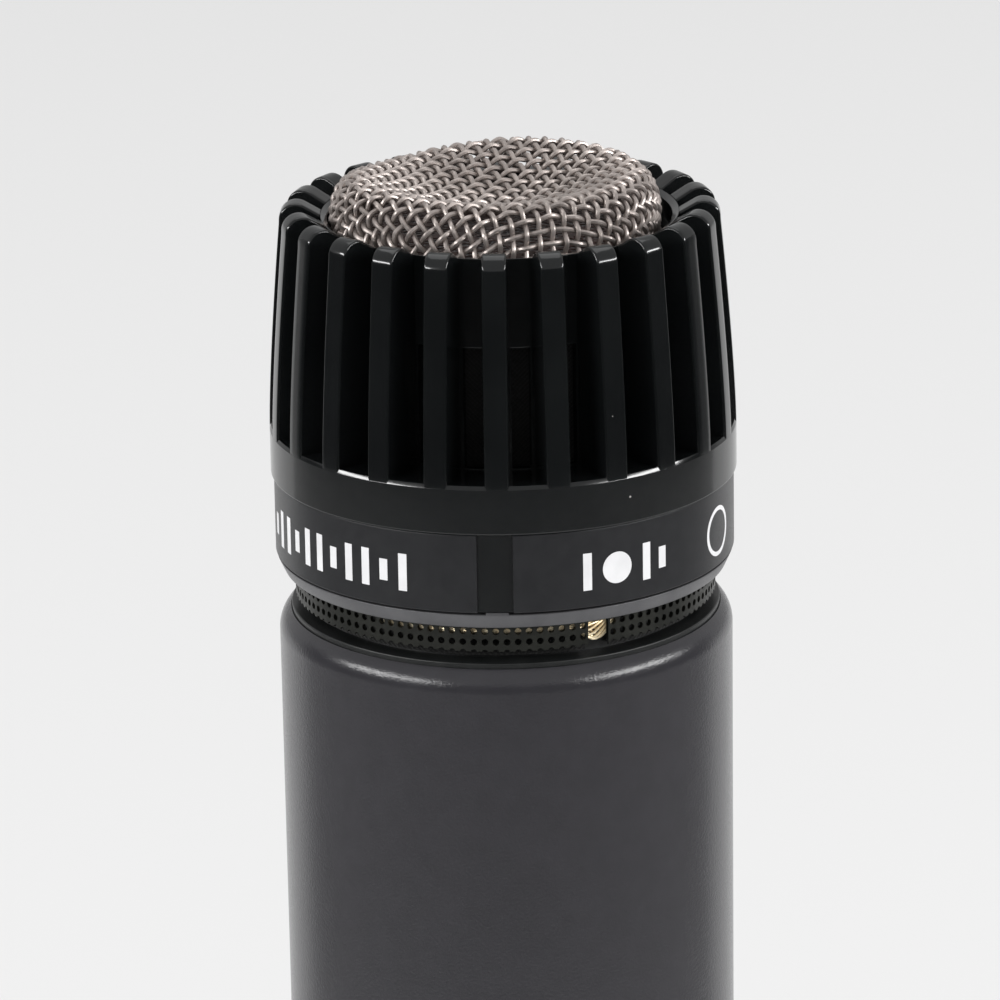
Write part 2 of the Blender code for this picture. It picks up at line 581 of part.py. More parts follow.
def make_cartridge(body):
    bore = HOUSING_RADIUS - HOUSING_WALL
    floor = HOUSING_BOTTOM_Z + HOUSING_FLOOR
    hole = HOUSING_HOLE_RADIUS
    profile = [(HOUSING_RADIUS, HOUSING_TOP_Z), (HOUSING_RADIUS, HOUSING_BOTTOM_Z), (hole, HOUSING_BOTTOM_Z),
               (hole, floor), (bore, floor), (bore, HOUSING_TOP_Z)]
    turned("cartridge_housing", profile, "dark_moulding", body)
    board_low = floor + GAP
    board_high = board_low + BOARD_THICKNESS
    ring("terminal_board", BOARD_RADIUS, hole, board_low, board_high, "board_brown", body)
    yoke_bore = YOKE_RADIUS - YOKE_WALL
    yoke_floor = YOKE_BOTTOM_Z + YOKE_FLOOR
    yoke = [(0.0, yoke_floor), (yoke_bore, yoke_floor), (yoke_bore, YOKE_TOP_Z), (YOKE_RADIUS, YOKE_TOP_Z),
            (YOKE_RADIUS, YOKE_BOTTOM_Z), (0.0, YOKE_BOTTOM_Z)]
    turned("yoke_cup", yoke, "soft_iron", body)
    disc("magnet", MAGNET_RADIUS, yoke_floor + GAP, MAGNET_TOP_Z, "magnet_alloy", body)
    disc("pole_piece", POLE_RADIUS, MAGNET_TOP_Z + GAP, POLE_TOP_Z, "soft_iron", body)
    coil_outer = POLE_RADIUS + GAP + COIL_WALL
    ring("top_plate", YOKE_RADIUS, coil_outer + GAP, YOKE_TOP_Z + GAP, POLE_TOP_Z, "soft_iron", body)


def make_air_chamber(body):
    high = COLLAR_NECK_BOTTOM_Z - GAP
    bore = CHAMBER_RADIUS - CHAMBER_WALL
    floor = CHAMBER_BOTTOM_Z + CHAMBER_WALL
    hole = GROMMET_RADIUS + GAP
    profile = [(CHAMBER_RADIUS, high), (CHAMBER_RADIUS, CHAMBER_BOTTOM_Z), (hole, CHAMBER_BOTTOM_Z),
               (hole, floor), (bore, floor), (bore, high)]
    turned("air_chamber", profile, "tin_plate", body)
    flange = GROMMET_RADIUS + GROMMET_FLANGE
    under = CHAMBER_BOTTOM_Z - GAP
    plug = floor + GROMMET_PLUG
    foot = under - GROMMET_THICKNESS
    grommet = [(0.0, plug), (GROMMET_RADIUS, plug), (GROMMET_RADIUS, under), (flange, under),
               (flange, foot), (0.0, foot)]
    turned("chamber_grommet", grommet, "rubber_black", body)


def make_diaphragm(body):
    """Thin film: a dome over the voice coil and a half-round surround."""
    coil_inner = POLE_RADIUS + GAP
    ring("voice_coil", coil_inner + COIL_WALL, coil_inner, COIL_BOTTOM_Z, COIL_TOP_Z, "copper", body)
    dome_radius = coil_inner + COIL_WALL
    upper = []
    for index in range(FILM_STATIONS + 1):
        reach = index / FILM_STATIONS
        upper.append((dome_radius * reach, DIAPHRAGM_Z + DIAPHRAGM_SHEET + DOME_HEIGHT * (1 - reach ** 2)))
    for index in range(1, FILM_STATIONS + 1):
        reach = index / FILM_STATIONS
        upper.append((dome_radius + (DIAPHRAGM_RADIUS - dome_radius) * reach,
                      DIAPHRAGM_Z + DIAPHRAGM_SHEET + SURROUND_HEIGHT * sin(pi * reach)))
    lower = [(radius, height - DIAPHRAGM_SHEET) for radius, height in reversed(upper)]
    turned("diaphragm", upper + lower, "clear_film", body)


# ---------------------------------------------------------------- head
def rib_radius(rise):
    """Outer radius of the ribs at a height above the slot floor: slow at first, then a steady taper."""
    return HEAD_RADIUS - (HEAD_RADIUS - RIB_TOP_RADIUS) * (rise / RIB_SIDE_HEIGHT) ** RIB_LEAN_POWER


def rib_top_height(radius):
    """Height of the ribs' sloping upper end at a radius."""
    slope = radians(RIB_SLOPE)
    start = (RIB_TOP_RADIUS - RIB_CORNER - RIB_CORNER * sin(slope),
             RIB_TOP_Z - RIB_CORNER + RIB_CORNER * cos(slope))
    return start[1] - (start[0] - radius) * tan(slope)


def rib_profile():
    """From the inner end of a rib's sloping top, round its corner and down its outer side."""
    centre = (RIB_TOP_RADIUS - RIB_CORNER, RIB_TOP_Z - RIB_CORNER)
    points = [(RIB_INNER_RADIUS, rib_top_height(RIB_INNER_RADIUS))]
    for angle in (90.0 + RIB_SLOPE, 75.0, 35.0):
        points.append((centre[0] + RIB_CORNER * cos(radians(angle)),
                       centre[1] + RIB_CORNER * sin(radians(angle))))
    return points + [(rib_radius(rise), SLOT_FLOOR_Z + rise) for rise in RIB_SIDE_RISES]


def slot_half_width(radius):
    """Half the gap between two ribs with parallel sides, measured across the slot's middle line."""
    half_pitch = pi / RIB_COUNT
    return radius * tan(half_pitch) - RIB_WIDTH / 2 / cos(half_pitch)


def slot_cutters(turns):
    """Wedges that leave the ribs standing with parallel sides."""
    inner = slot_half_width(SLOT_WALL_RADIUS)
    outer = slot_half_width(SLOT_OUTER_RADIUS)
    shape = bmesh.new()
    for turn in turns:
        made = bmesh.ops.create_cube(shape, size=1.0)
        for vert in made["verts"]:
            outside = vert.co.x > 0
            vert.co.x = SLOT_OUTER_RADIUS if outside else SLOT_WALL_RADIUS
            vert.co.y *= 2 * (outer if outside else inner)
            vert.co.z = SLOT_FLOOR_Z + SLOT_CUT_HEIGHT * (vert.co.z + 0.5)
            vert.co.rotate(Matrix.Rotation(radians(turn), 3, "Z"))
    return cutter_object("rib_slots", shape)


def make_resonator_shell(body):
    """Moulded shell: a plain band below, parallel-sided ribs above, ports behind their lower half."""
    groove_radius = SHELL_BORE_RADIUS + SNAP_GROOVE_DEPTH
    groove_low = SNAP_RING_Z - GAP
    groove_high = SNAP_RING_Z + SNAP_RING_HEIGHT + GAP
    bottom = STRIP_BOTTOM_Z
    profile = rib_profile() + [
        (HEAD_RADIUS, BAND_BOTTOM_Z), (STRIP_BED_RADIUS, BAND_BOTTOM_Z), (STRIP_BED_RADIUS, bottom),
        (SHELL_BORE_RADIUS, bottom), (SHELL_BORE_RADIUS, groove_low), (groove_radius, groove_low),
        (groove_radius, groove_high), (SHELL_BORE_RADIUS, groove_high),
        (SHELL_BORE_RADIUS, SHELL_BORE_TOP_Z), (SHELL_INNER_RADIUS, SHELL_BORE_TOP_Z),
        (SHELL_INNER_RADIUS, RETAINER_LEDGE_Z), (RIB_INNER_RADIUS, RETAINER_LEDGE_Z)]
    shell = turned("resonator_shell", profile, "gloss_moulding", body, FINE_STEPS)
    pitch = 360.0 / RIB_COUNT
    turns = [front_angle(pitch * (index + 0.5)) for index in range(RIB_COUNT)]
    cut(shell, slot_cutters(turns))
    window_height = WINDOW_TOP_Z - SLOT_FLOOR_Z - WINDOW_SILL
    window_z = SLOT_FLOOR_Z + WINDOW_SILL + window_height / 2
    window_centres = [on_circle(WINDOW_CUT_RADIUS, turn, window_z) for turn in turns]
    window = (WINDOW_CUT_DEPTH, WINDOW_WIDTH, window_height)
    cut(shell, box_cutter("port_windows", window_centres, window, turns))


def make_strip_and_lip(body):
    inner = STRIP_RADIUS - STRIP_THICKNESS
    strip = ring("label_strip", STRIP_RADIUS, inner, STRIP_BOTTOM_Z, BAND_BOTTOM_Z - GAP,
                 "strip_black", body, MIDDLE_STEPS)
    middle = (0.0, -STRIP_RADIUS, (STRIP_BOTTOM_Z + BAND_BOTTOM_Z) / 2)
    cut(strip, box_cutter("strip_gap", [middle], STRIP_END_GAP, [0.0]))
    lip_inner = VENT_RING_RADIUS + GAP
    profile = [(LIP_TOP_RADIUS, LIP_TOP_Z), (LIP_BOTTOM_RADIUS, LIP_BOTTOM_Z), (lip_inner, LIP_BOTTOM_Z),
               (lip_inner, LIP_TOP_Z)]
    turned("base_lip_ring", profile, "lip_grey", body, MIDDLE_STEPS)


def mesh_outer_points():
    """Outer skin of the mesh cap from its dished centre, over the crest, down to the flange."""
    points = []
    for index in range(SKIN_STATIONS):
        reach = index / SKIN_STATIONS
        dish = MESH_CENTRE_DROP * (1 - reach ** 2) ** DISH_POWER
        points.append((MESH_CREST_RADIUS * reach, TOTAL_LENGTH - dish))
    points.append((MESH_CREST_RADIUS, TOTAL_LENGTH))
    for index in range(1, SIDE_STATIONS + 1):
        angle = pi / 2 * (1 - index / SIDE_STATIONS)
        points.append((MESH_CREST_RADIUS + (MESH_WIDEST_RADIUS - MESH_CREST_RADIUS) * cos(angle),
                       MESH_WIDEST_Z + (TOTAL_LENGTH - MESH_WIDEST_Z) * sin(angle)))
    return points


def make_mesh_cap(body):
    """Cup of woven wire as one plain skin, the ring round its foot and the foam under it."""
    skin = mesh_outer_points()
    foot_z = PLATE_Z + PLATE_THICKNESS + GAP
    inner_top = TOTAL_LENGTH - MESH_THICKNESS
    inner = [(MESH_FOOT_RADIUS - MESH_THICKNESS, foot_z),
             (MESH_WIDEST_RADIUS - MESH_THICKNESS, MESH_WIDEST_Z),
             (MESH_CREST_RADIUS + MESH_CREST_FLAT, inner_top - MESH_CREST_STEP),
             (MESH_CREST_RADIUS - MESH_CREST_FLAT, inner_top)]
    inner += [(radius, height - MESH_THICKNESS) for radius, height in reversed(skin[:SKIN_STATIONS])]
    turned("wire_mesh_cap", skin + [(MESH_FOOT_RADIUS, foot_z)] + inner, "mesh_wire", body, MIDDLE_STEPS)
    outer_radius = RIB_INNER_RADIUS - GAP
    ring_low = RETAINER_LEDGE_Z + GAP
    profile = [(outer_radius, rib_top_height(outer_radius)), (outer_radius, ring_low),
               (SHELL_INNER_RADIUS, ring_low), (SHELL_INNER_RADIUS, rib_top_height(SHELL_INNER_RADIUS))]
    turned("mesh_retaining_ring", profile, "dark_moulding", body, MIDDLE_STEPS)
    filter_high = TOTAL_LENGTH - MESH_CENTRE_DROP - MESH_THICKNESS - GAP
    disc("pop_filter", FILTER_RADIUS, foot_z, filter_high, "filter_foam", body)


def make_resonator_plate(body):
    plate = disc("resonator_plate", PLATE_RADIUS, PLATE_Z, PLATE_Z + PLATE_THICKNESS,
                 "dark_moulding", body)
    holes = [on_circle(PLATE_HOLE_CIRCLE, 360.0 * index / PLATE_HOLES, PLATE_Z)
             for index in range(PLATE_HOLES)]
    cut(plate, rod_cutter("plate_holes", holes, PLATE_HOLE_RADIUS, CUT_DEPTH))
    cloth_outer = SHELL_INNER_RADIUS - GAP
    ring("port_cloth", cloth_outer, cloth_outer - PORT_CLOTH_THICKNESS, SLOT_FLOOR_Z, HOUSING_TOP_Z,
         "black_cloth", body)


def main():
    cartridge = joint_empty("cartridge_slide", SHOCK_BOTTOM_Z)
    head = joint_empty("head_swivel", SNAP_RING_Z, cartridge)
    diaphragm = joint_empty("diaphragm_slide", DIAPHRAGM_Z, cartridge)
    make_handle()
    make_connector()
    make_transformer()
    make_leads()
    make_shock_mount()
    make_collar(cartridge)
    make_snap_ring(cartridge)
    make_vents(cartridge)
    make_cartridge(cartridge)
    make_air_chamber(cartridge)
    make_diaphragm(diaphragm)
    make_resonator_shell(head)
    make_strip_and_lip(head)
    make_mesh_cap(head)
    make_resonator_plate(head)


main()
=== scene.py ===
"""Looks of the dynamic microphone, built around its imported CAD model.

Lengths are in metres and +Z is up. Angles are in degrees from the front (-Y) towards +X.
"""

from math import acos, atan2, cos, degrees, exp, pi, radians, sin, sqrt, tan

import bmesh
import bpy
import numpy as np
from mathutils import Matrix, Vector


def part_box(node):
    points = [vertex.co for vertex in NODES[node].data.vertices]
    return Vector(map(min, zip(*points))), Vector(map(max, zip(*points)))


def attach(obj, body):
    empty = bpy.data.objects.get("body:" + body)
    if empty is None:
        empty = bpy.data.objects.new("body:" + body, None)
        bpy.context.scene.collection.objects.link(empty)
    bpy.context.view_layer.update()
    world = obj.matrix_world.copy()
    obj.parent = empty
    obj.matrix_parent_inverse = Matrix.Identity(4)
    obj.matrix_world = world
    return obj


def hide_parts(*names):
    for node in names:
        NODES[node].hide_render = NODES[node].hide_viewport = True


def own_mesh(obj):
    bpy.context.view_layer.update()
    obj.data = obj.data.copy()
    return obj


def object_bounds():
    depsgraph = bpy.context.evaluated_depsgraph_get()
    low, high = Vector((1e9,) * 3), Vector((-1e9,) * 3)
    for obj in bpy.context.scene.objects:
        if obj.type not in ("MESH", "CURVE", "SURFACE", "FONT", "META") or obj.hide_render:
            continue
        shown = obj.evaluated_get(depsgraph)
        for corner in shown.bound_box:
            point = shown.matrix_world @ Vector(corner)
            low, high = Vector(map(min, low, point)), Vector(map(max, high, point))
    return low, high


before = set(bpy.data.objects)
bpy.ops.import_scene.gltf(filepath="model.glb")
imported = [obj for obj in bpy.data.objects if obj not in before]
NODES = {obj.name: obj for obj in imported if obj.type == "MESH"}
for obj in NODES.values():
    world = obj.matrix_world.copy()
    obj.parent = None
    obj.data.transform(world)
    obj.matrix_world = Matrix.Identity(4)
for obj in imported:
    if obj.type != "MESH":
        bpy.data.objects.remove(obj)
cad_low, cad_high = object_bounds()

MM = 0.001

# ------ sizes read from the frame
TOP_Z = cad_high.z
DISH = 2.7 * MM                          # depth of the hollow in the grille's top
SLOT_Z = TOP_Z - 18.0 * MM               # ledge that the slots between the ribs end on
STRIP_LOW, STRIP_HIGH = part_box("label_strip")
VENT_LOW, VENT_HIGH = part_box("vent_ring")
COLLAR_LOW, COLLAR_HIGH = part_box("cartridge_collar")
HANDLE_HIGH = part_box("handle")[1]
MOUNT_LOW, MOUNT_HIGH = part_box("shock_mount")
INSERT_LOW, INSERT_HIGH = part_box("connector_insert")
LIP_LOW, LIP_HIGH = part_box("base_lip_ring")


# ------ mesh helpers
def new_object(name, verts, faces, sharp=35.0, even=True):
    """A smooth-shaded object whose edges sharper than an angle stay crisp."""
    mesh = bpy.data.meshes.new(name)
    mesh.from_pydata([tuple(v) for v in verts], [], faces)
    return mesh_object(name, mesh, sharp, even)


def mesh_object(name, mesh, sharp=35.0, even=True):
    """A smooth-shaded object of a mesh, with its faces turned outwards."""
    shape = bmesh.new()
    shape.from_mesh(mesh)
    bmesh.ops.recalc_face_normals(shape, faces=shape.faces)
    shape.to_mesh(mesh)
    shape.free()
    mesh.polygons.foreach_set("use_smooth", [True] * len(mesh.polygons))
    mesh.set_sharp_from_angle(angle=radians(sharp))
    made = bpy.data.objects.new(name, mesh)
    bpy.context.scene.collection.objects.link(made)
    if even:
        weighted = made.modifiers.new("even_normals", "WEIGHTED_NORMAL")
        weighted.keep_sharp = True
    return made


def place(piece, body, stands_for=(), material=None):
    """Give a piece its material and its body, and hide the CAD nodes it stands for."""
    piece.data.materials.clear()
    piece.data.materials.append(material)
    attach(piece, body)
    if stands_for:
        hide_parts(*stands_for)
    return piece


def rounded(points, closed=True, steps=5):
    """Round the corners of a (radius, height, fillet) outline into short arcs."""
    made = []
    count = len(points)
    for index, point in enumerate(points):
        fillet = point[2] if len(point) > 2 else 0.0
        here = np.array(point[:2])
        if fillet <= 0 or (not closed and index in (0, count - 1)):
            made.append(tuple(here))
            continue
        before = np.array(points[index - 1][:2]) - here
        after = np.array(points[(index + 1) % count][:2]) - here
        before_unit = before / np.linalg.norm(before)
        after_unit = after / np.linalg.norm(after)
        half = np.arccos(np.clip(before_unit @ after_unit, -1, 1)) / 2
        if half > radians(89):
            made.append(tuple(here))
            continue
        reach = fillet / tan(half)
        centre = here + (before_unit + after_unit) / np.linalg.norm(before_unit + after_unit) * fillet / sin(half)
        start = here + before_unit * reach - centre
        end = here + after_unit * reach - centre
        first = atan2(start[1], start[0])
        sweep = (atan2(end[1], end[0]) - first + pi) % (2 * pi) - pi
        for step in range(steps + 1):
            angle = first + sweep * step / steps
            made.append((centre[0] + fillet * cos(angle), centre[1] + fillet * sin(angle)))
    return made


def quads(rings, width, wrapped=True, joined=False):
    """Faces between neighbouring rings of points; wrapped closes each ring, joined the last on the first."""
    faces = []
    for ring in range(rings if joined else rings - 1):
        here, there = ring * width, (ring + 1) % rings * width
        for point in range(width if wrapped else width - 1):
            following = (point + 1) % width
            faces.append((here + point, there + point, there + following, here + following))
    return faces


def end_caps(rings, width):
    """Flat faces on the first and the last ring."""
    return [tuple(range(width)), tuple(reversed(range((rings - 1) * width, rings * width)))]


def lathe_data(profile, steps, closed=True):
    """Vertices and faces of an outline of (radius, height) turned about Z."""
    verts = []
    for step in range(steps):
        angle = 2 * pi * step / steps
        verts += [(r * sin(angle), -r * cos(angle), z) for r, z in profile]
    return verts, quads(steps, len(profile), closed, joined=True)


def turned(name, profile, steps=192, sharp=35.0):
    """A ring-like solid of one closed outline."""
    verts, faces = lathe_data(profile, steps)
    return new_object(name, verts, faces, sharp)


def turned_solid(name, profile, steps=96, sharp=35.0):
    """A solid whose outline starts and ends on the axis."""
    verts, faces = lathe_data(profile[1:-1], steps, closed=False)
    rows = len(profile) - 2
    top = len(verts)
    verts += [(0.0, 0.0, profile[0][1]), (0.0, 0.0, profile[-1][1])]
    for step in range(steps):
        here = step * rows
        there = (step + 1) % steps * rows
        faces.append((top, there, here))
        faces.append((top + 1, here + rows - 1, there + rows - 1))
    return new_object(name, verts, faces, sharp)


def add_shape(verts, faces, more_verts, more_faces):
    """Append one shape's vertices and faces to lists."""
    offset = len(verts)
    verts += [tuple(v) for v in more_verts]
    faces += [tuple(offset + index for index in face) for face in more_faces]


def around(radius, angle, height, side=0.0):
    """A point at an angle from the front, with a sideways step at right angles to the radius."""
    turn = radians(angle)
    return (radius * sin(turn) + side * cos(turn), -radius * cos(turn) + side * sin(turn), height)


def applied(piece):
    """Turn a piece's modifiers into its mesh."""
    bpy.context.view_layer.update()
    graph = bpy.context.evaluated_depsgraph_get()
    mesh = bpy.data.meshes.new_from_object(piece.evaluated_get(graph))
    name = piece.name
    bpy.data.objects.remove(piece)
    return mesh_object(name, mesh)


def cut_with(piece, cutters):
    """Subtract closed objects from a piece, and remove them."""
    piece.modifiers.clear()
    for cutter in cutters:
        boolean = piece.modifiers.new(cutter.name, "BOOLEAN")
        boolean.operation = "DIFFERENCE"
        boolean.solver = "EXACT"
        boolean.object = cutter
    made = applied(piece)
    for cutter in cutters:
        bpy.data.objects.remove(cutter)
    return made


def finished(name, shape):
    """An object of a bmesh."""
    mesh = bpy.data.meshes.new(name)
    shape.to_mesh(mesh)
    shape.free()
    return mesh_object(name, mesh, even=False)


def rod(name, centre, radius, depth, axis="Z"):
    """A round bar along Z or Y."""
    shape = bmesh.new()
    tilt = Matrix.Rotation(pi / 2, 4, "X") if axis == "Y" else Matrix.Identity(4)
    bmesh.ops.create_cone(shape, cap_ends=True, segments=48, radius1=radius, radius2=radius,
                          depth=depth, matrix=Matrix.Translation(centre) @ tilt)
    return finished(name, shape)


def block(name, centre, size):
    """A box of a size about its centre."""
    shape = bmesh.new()
    matrix = Matrix.Translation(centre) @ Matrix.Diagonal((*size, 1.0))
    bmesh.ops.create_cube(shape, size=1.0, matrix=matrix)
    return finished(name, shape)


# ------ material helpers
CLOTH_RADIUS = 11.3 * MM                 # where the cloth's threads are laid out


class Surface:
    """A node material: a Principled shader whose colour, roughness and bump vary by procedural noise."""

    def __init__(self, name, roughness=0.5, metallic=0.0, specular=0.5, sheen=0.0):
        self.material = bpy.data.materials.new(name)
        self.material.use_nodes = True
        self.tree = self.material.node_tree
        self.shader = self.tree.nodes["Principled BSDF"]
        for socket, value in (("Roughness", roughness), ("Metallic", metallic), ("Specular IOR Level", specular),
                              ("Sheen Weight", sheen)):
            self.shader.inputs[socket].default_value = value
        self.place = self.node("ShaderNodeTexCoord").outputs["Object"]

    def node(self, kind, inputs=None, **values):
        """A node with its settings, its inputs fed with numbers, colours, vectors or other sockets."""
        made = self.tree.nodes.new(kind)
        for key, value in values.items():
            setattr(made, key, value)
        for socket, value in (inputs or {}).items():
            self.feed(made.inputs[socket], value)
        return made

    def link(self, source, target):
        self.tree.links.new(source, target)

    def stretched(self, scale):
        """Object coordinates scaled by a different amount along each axis."""
        return self.node("ShaderNodeMapping", {"Scale": scale, "Vector": self.place}).outputs["Vector"]

    def noise(self, size, detail=3.0, vector=None):
        """Noise with features of about that size in metres, from 0 to 1."""
        return self.node("ShaderNodeTexNoise", {"Scale": 1.0 / size, "Detail": detail, "Roughness": 0.55,
                                                "Vector": vector or self.place}).outputs["Fac"]

    def cells(self, size):
        """Voronoi cells of about that size in metres."""
        return self.node("ShaderNodeTexVoronoi", {"Scale": 1.0 / size, "Vector": self.place}, feature="F1").outputs

    def span(self, value, low, high, to_low=0.0, to_high=1.0):
        """Map a value's range onto another, clamped."""
        return self.node("ShaderNodeMapRange", {"From Min": low, "From Max": high, "To Min": to_low,
                                                "To Max": to_high, "Value": value}).outputs["Result"]

    def maths(self, operation, first, second):
        """The result of an operation on two sockets or numbers."""
        return self.node("ShaderNodeMath", {0: first, 1: second}, operation=operation).outputs["Value"]

    def specks(self, spacing, radius, share):
        """1 inside small scattered spots: dust, or pores."""
        cells = self.cells(spacing)
        apart = self.node("ShaderNodeSeparateColor", {"Color": cells["Color"]}).outputs
        chosen = self.maths("LESS_THAN", apart["Red"], share)
        size = self.maths("MULTIPLY", apart["Green"], radius / spacing)
        inside = self.maths("LESS_THAN", cells["Distance"], size)
        return self.maths("MULTIPLY", chosen, inside)

    def mixed(self, factor, first, second):
        """A colour between two colours or sockets."""
        return self.node("ShaderNodeMix", {0: factor, 6: first, 7: second}, data_type="RGBA").outputs[2]

    def feed(self, socket, value):
        """Set an input from a number, a colour, a vector or another socket."""
        if isinstance(value, (int, float)):
            socket.default_value = value
        elif isinstance(value, tuple):
            socket.default_value = value if socket.type == "VECTOR" else (*value, 1.0)
        else:
            self.link(value, socket)

    def colour(self, socket_or_colour):
        self.feed(self.shader.inputs["Base Color"], socket_or_colour)

    def roughness(self, socket):
        self.link(socket, self.shader.inputs["Roughness"])

    def bump(self, height, distance):
        """Relief of a height in metres."""
        relief = self.node("ShaderNodeBump", {"Distance": distance, "Height": height})
        self.link(relief.outputs["Normal"], self.shader.inputs["Normal"])


DUST_COLOUR = (0.35, 0.34, 0.32)
DUST_SPACING, DUST_RADIUS = 1.1 * MM, 0.10 * MM


def moulded(name, dark, light, roughness, grain=0.4 * MM, relief=0.004 * MM, dust=0.0, **shader):
    """Painted or moulded surface: faint mottling, fine relief, and a few dust specks."""
    made = Surface(name, roughness, **shader)
    mottling = made.span(made.noise(9 * grain), 0.35, 0.65)
    base = made.mixed(mottling, dark, light)
    fine = made.noise(grain, detail=4.0)
    made.roughness(made.span(fine, 0.3, 0.7, roughness * 0.85, roughness * 1.15))
    made.bump(fine, relief)
    if dust:
        spots = made.specks(DUST_SPACING, DUST_RADIUS, dust)
        base = made.mixed(spots, base, DUST_COLOUR)
    made.colour(base)
    return made.material


def metal(name, dark, light, roughness, grain=0.25 * MM, relief=0.003 * MM, brushed=None, metallic=1.0):
    """Metal with slight stains and a fine surface, optionally brushed along an axis."""
    made = Surface(name, roughness, metallic)
    stain = made.span(made.noise(12 * grain, detail=5.0), 0.3, 0.7)
    made.colour(made.mixed(stain, dark, light))
    vector = made.stretched(brushed) if brushed else None
    fine = made.noise(grain, detail=4.0, vector=vector)
    made.roughness(made.span(fine, 0.3, 0.7, roughness * 0.8, roughness * 1.2))
    made.bump(fine, relief)
    return made.material


def woven(name, dark, light, pitch, relief):
    """Open cloth of crossed threads, rolled round the axis, with painted highlight and painted shade following the
    threads' relief.
    """
    made = Surface(name, 0.9, sheen=0.3, specular=0.25)
    apart = made.node("ShaderNodeSeparateXYZ", {"Vector": made.place}).outputs
    turn = made.maths("ARCTAN2", apart["X"], apart["Y"])
    across = made.maths("MULTIPLY", turn, CLOTH_RADIUS / pitch * 2 * pi)
    up = made.maths("MULTIPLY", apart["Z"], 2 * pi / pitch)
    threads = made.maths("MULTIPLY", made.maths("SINE", across, 0.0), made.maths("SINE", up, 0.0))
    made.bump(threads, relief)
    wear = made.noise(6 * pitch)
    # colour follows the bump: lighter where the threads rise (painted highlight), darker where they sink (painted
    # shade); wear adds random tone
    tone = made.maths("ADD", made.maths("MULTIPLY", threads, 0.25), wear)
    made.colour(made.mixed(made.span(tone, 0.2, 0.9), dark, light))
    return made.material


def foam(name, dark, light, pore, relief):
    """Open-cell foam: pores in a matt body, the pores darkened with painted shade."""
    made = Surface(name, 0.95, specular=0.2, sheen=0.2)
    wall = made.span(made.cells(pore)["Distance"], 0.1, 0.6)
    made.bump(wall, relief)
    # darker in the pores, where the bump sinks: painted shade in the pits, times random tone
    tone = made.maths("MULTIPLY", wall, made.noise(5 * pore))
    made.colour(made.mixed(made.span(tone, 0.05, 0.6), dark, light))
    return made.material


# ------ materials
HANDLE_PAINT = moulded("handle_paint_look", (0.0274, 0.0267, 0.0306), (0.0300, 0.0292, 0.0335), 0.20,
                       grain=0.20 * MM, relief=0.020 * MM, dust=0.012)
GLOSS = moulded("gloss_black_look", (0.0046, 0.0053, 0.0056), (0.0066, 0.0075, 0.0078), 0.13,
                grain=0.8 * MM, relief=0.002 * MM, dust=0.02)
STRIP = moulded("strip_look", (0.0108, 0.0112, 0.0130), (0.0145, 0.0150, 0.0168), 0.36,
                grain=0.12 * MM, relief=0.003 * MM, dust=0.004)
LIP = metal("lip_look", (0.085, 0.085, 0.09), (0.12, 0.12, 0.125), 0.38, brushed=(1.0, 1.0, 8.0), metallic=0.5)
MATT_BLACK = moulded("dark_moulding_look", (0.008, 0.009, 0.009), (0.014, 0.015, 0.015), 0.38,
                     grain=0.2 * MM, relief=0.008 * MM, dust=0.03)
WIRE = metal("wire_look", (0.342, 0.302, 0.282), (0.52, 0.462, 0.432), 0.40, grain=0.12 * MM, relief=0.006 * MM,
             metallic=0.75)
VENT = metal("vent_look", (0.017, 0.018, 0.0155), (0.031, 0.032, 0.027), 0.42, metallic=0.6)
CLOTH = woven("black_cloth_look", (0.002, 0.002, 0.002), (0.006, 0.006, 0.0055), 0.32 * MM, 0.02 * MM)
FILTER = foam("filter_foam_look", (0.005, 0.0015, 0.001), (0.040, 0.012, 0.007), 0.5 * MM, 0.2 * MM)
WRAP = foam("wrap_foam_look", (0.05, 0.05, 0.048), (0.22, 0.22, 0.21), 0.6 * MM, 0.2 * MM)
BRASS_WIRE = metal("coil_lead_look", (0.78, 0.60, 0.34), (1.0, 0.90, 0.66), 0.30, grain=0.1 * MM, metallic=0.45)
RUBBER = moulded("rubber_look", (0.010,) * 3, (0.020, 0.019, 0.018), 0.72, grain=0.3 * MM, relief=0.01 * MM)
SILVER = metal("contact_look", (0.62, 0.60, 0.55), (0.82, 0.80, 0.75), 0.22, brushed=(6.0, 6.0, 1.0))
STEEL = metal("screw_steel_look", (0.30, 0.30, 0.31), (0.45, 0.45, 0.46), 0.34)
INSERT = moulded("insert_look", (0.010, 0.040, 0.030), (0.018, 0.058, 0.044), 0.42, grain=0.25 * MM)
TIN = metal("tin_look", (0.46, 0.46, 0.47), (0.60, 0.60, 0.61), 0.36)
IRON = metal("soft_iron_look", (0.26, 0.26, 0.27), (0.38, 0.38, 0.39), 0.42)
MAGNET = metal("magnet_look", (0.15, 0.15, 0.16), (0.25, 0.25, 0.26), 0.48)
COPPER = metal("copper_look", (0.50, 0.20, 0.09), (0.80, 0.40, 0.20), 0.34, brushed=(1.0, 1.0, 14.0))
CORE = metal("core_steel_look", (0.17, 0.165, 0.16), (0.28, 0.27, 0.26), 0.5, brushed=(1.0, 12.0, 1.0))
BOARD = moulded("board_look", (0.16, 0.075, 0.025), (0.26, 0.14, 0.05), 0.55, grain=0.3 * MM)
LEAD_RED = moulded("lead_red_look", (0.34, 0.014, 0.010), (0.46, 0.022, 0.016), 0.42)
LEAD_BLACK = moulded("lead_black_look", (0.010,) * 3, (0.018,) * 3, 0.42)
LEAD_WHITE = moulded("lead_white_look", (0.60, 0.59, 0.55), (0.74, 0.73, 0.69), 0.42)
FILM = moulded("film_look", (0.48, 0.46, 0.38), (0.62, 0.60, 0.52), 0.18, grain=0.8 * MM)
PRINT = moulded("print_look", (0.72, 0.72, 0.73), (0.78, 0.78, 0.79), 0.45, grain=0.2 * MM, relief=0.003 * MM)

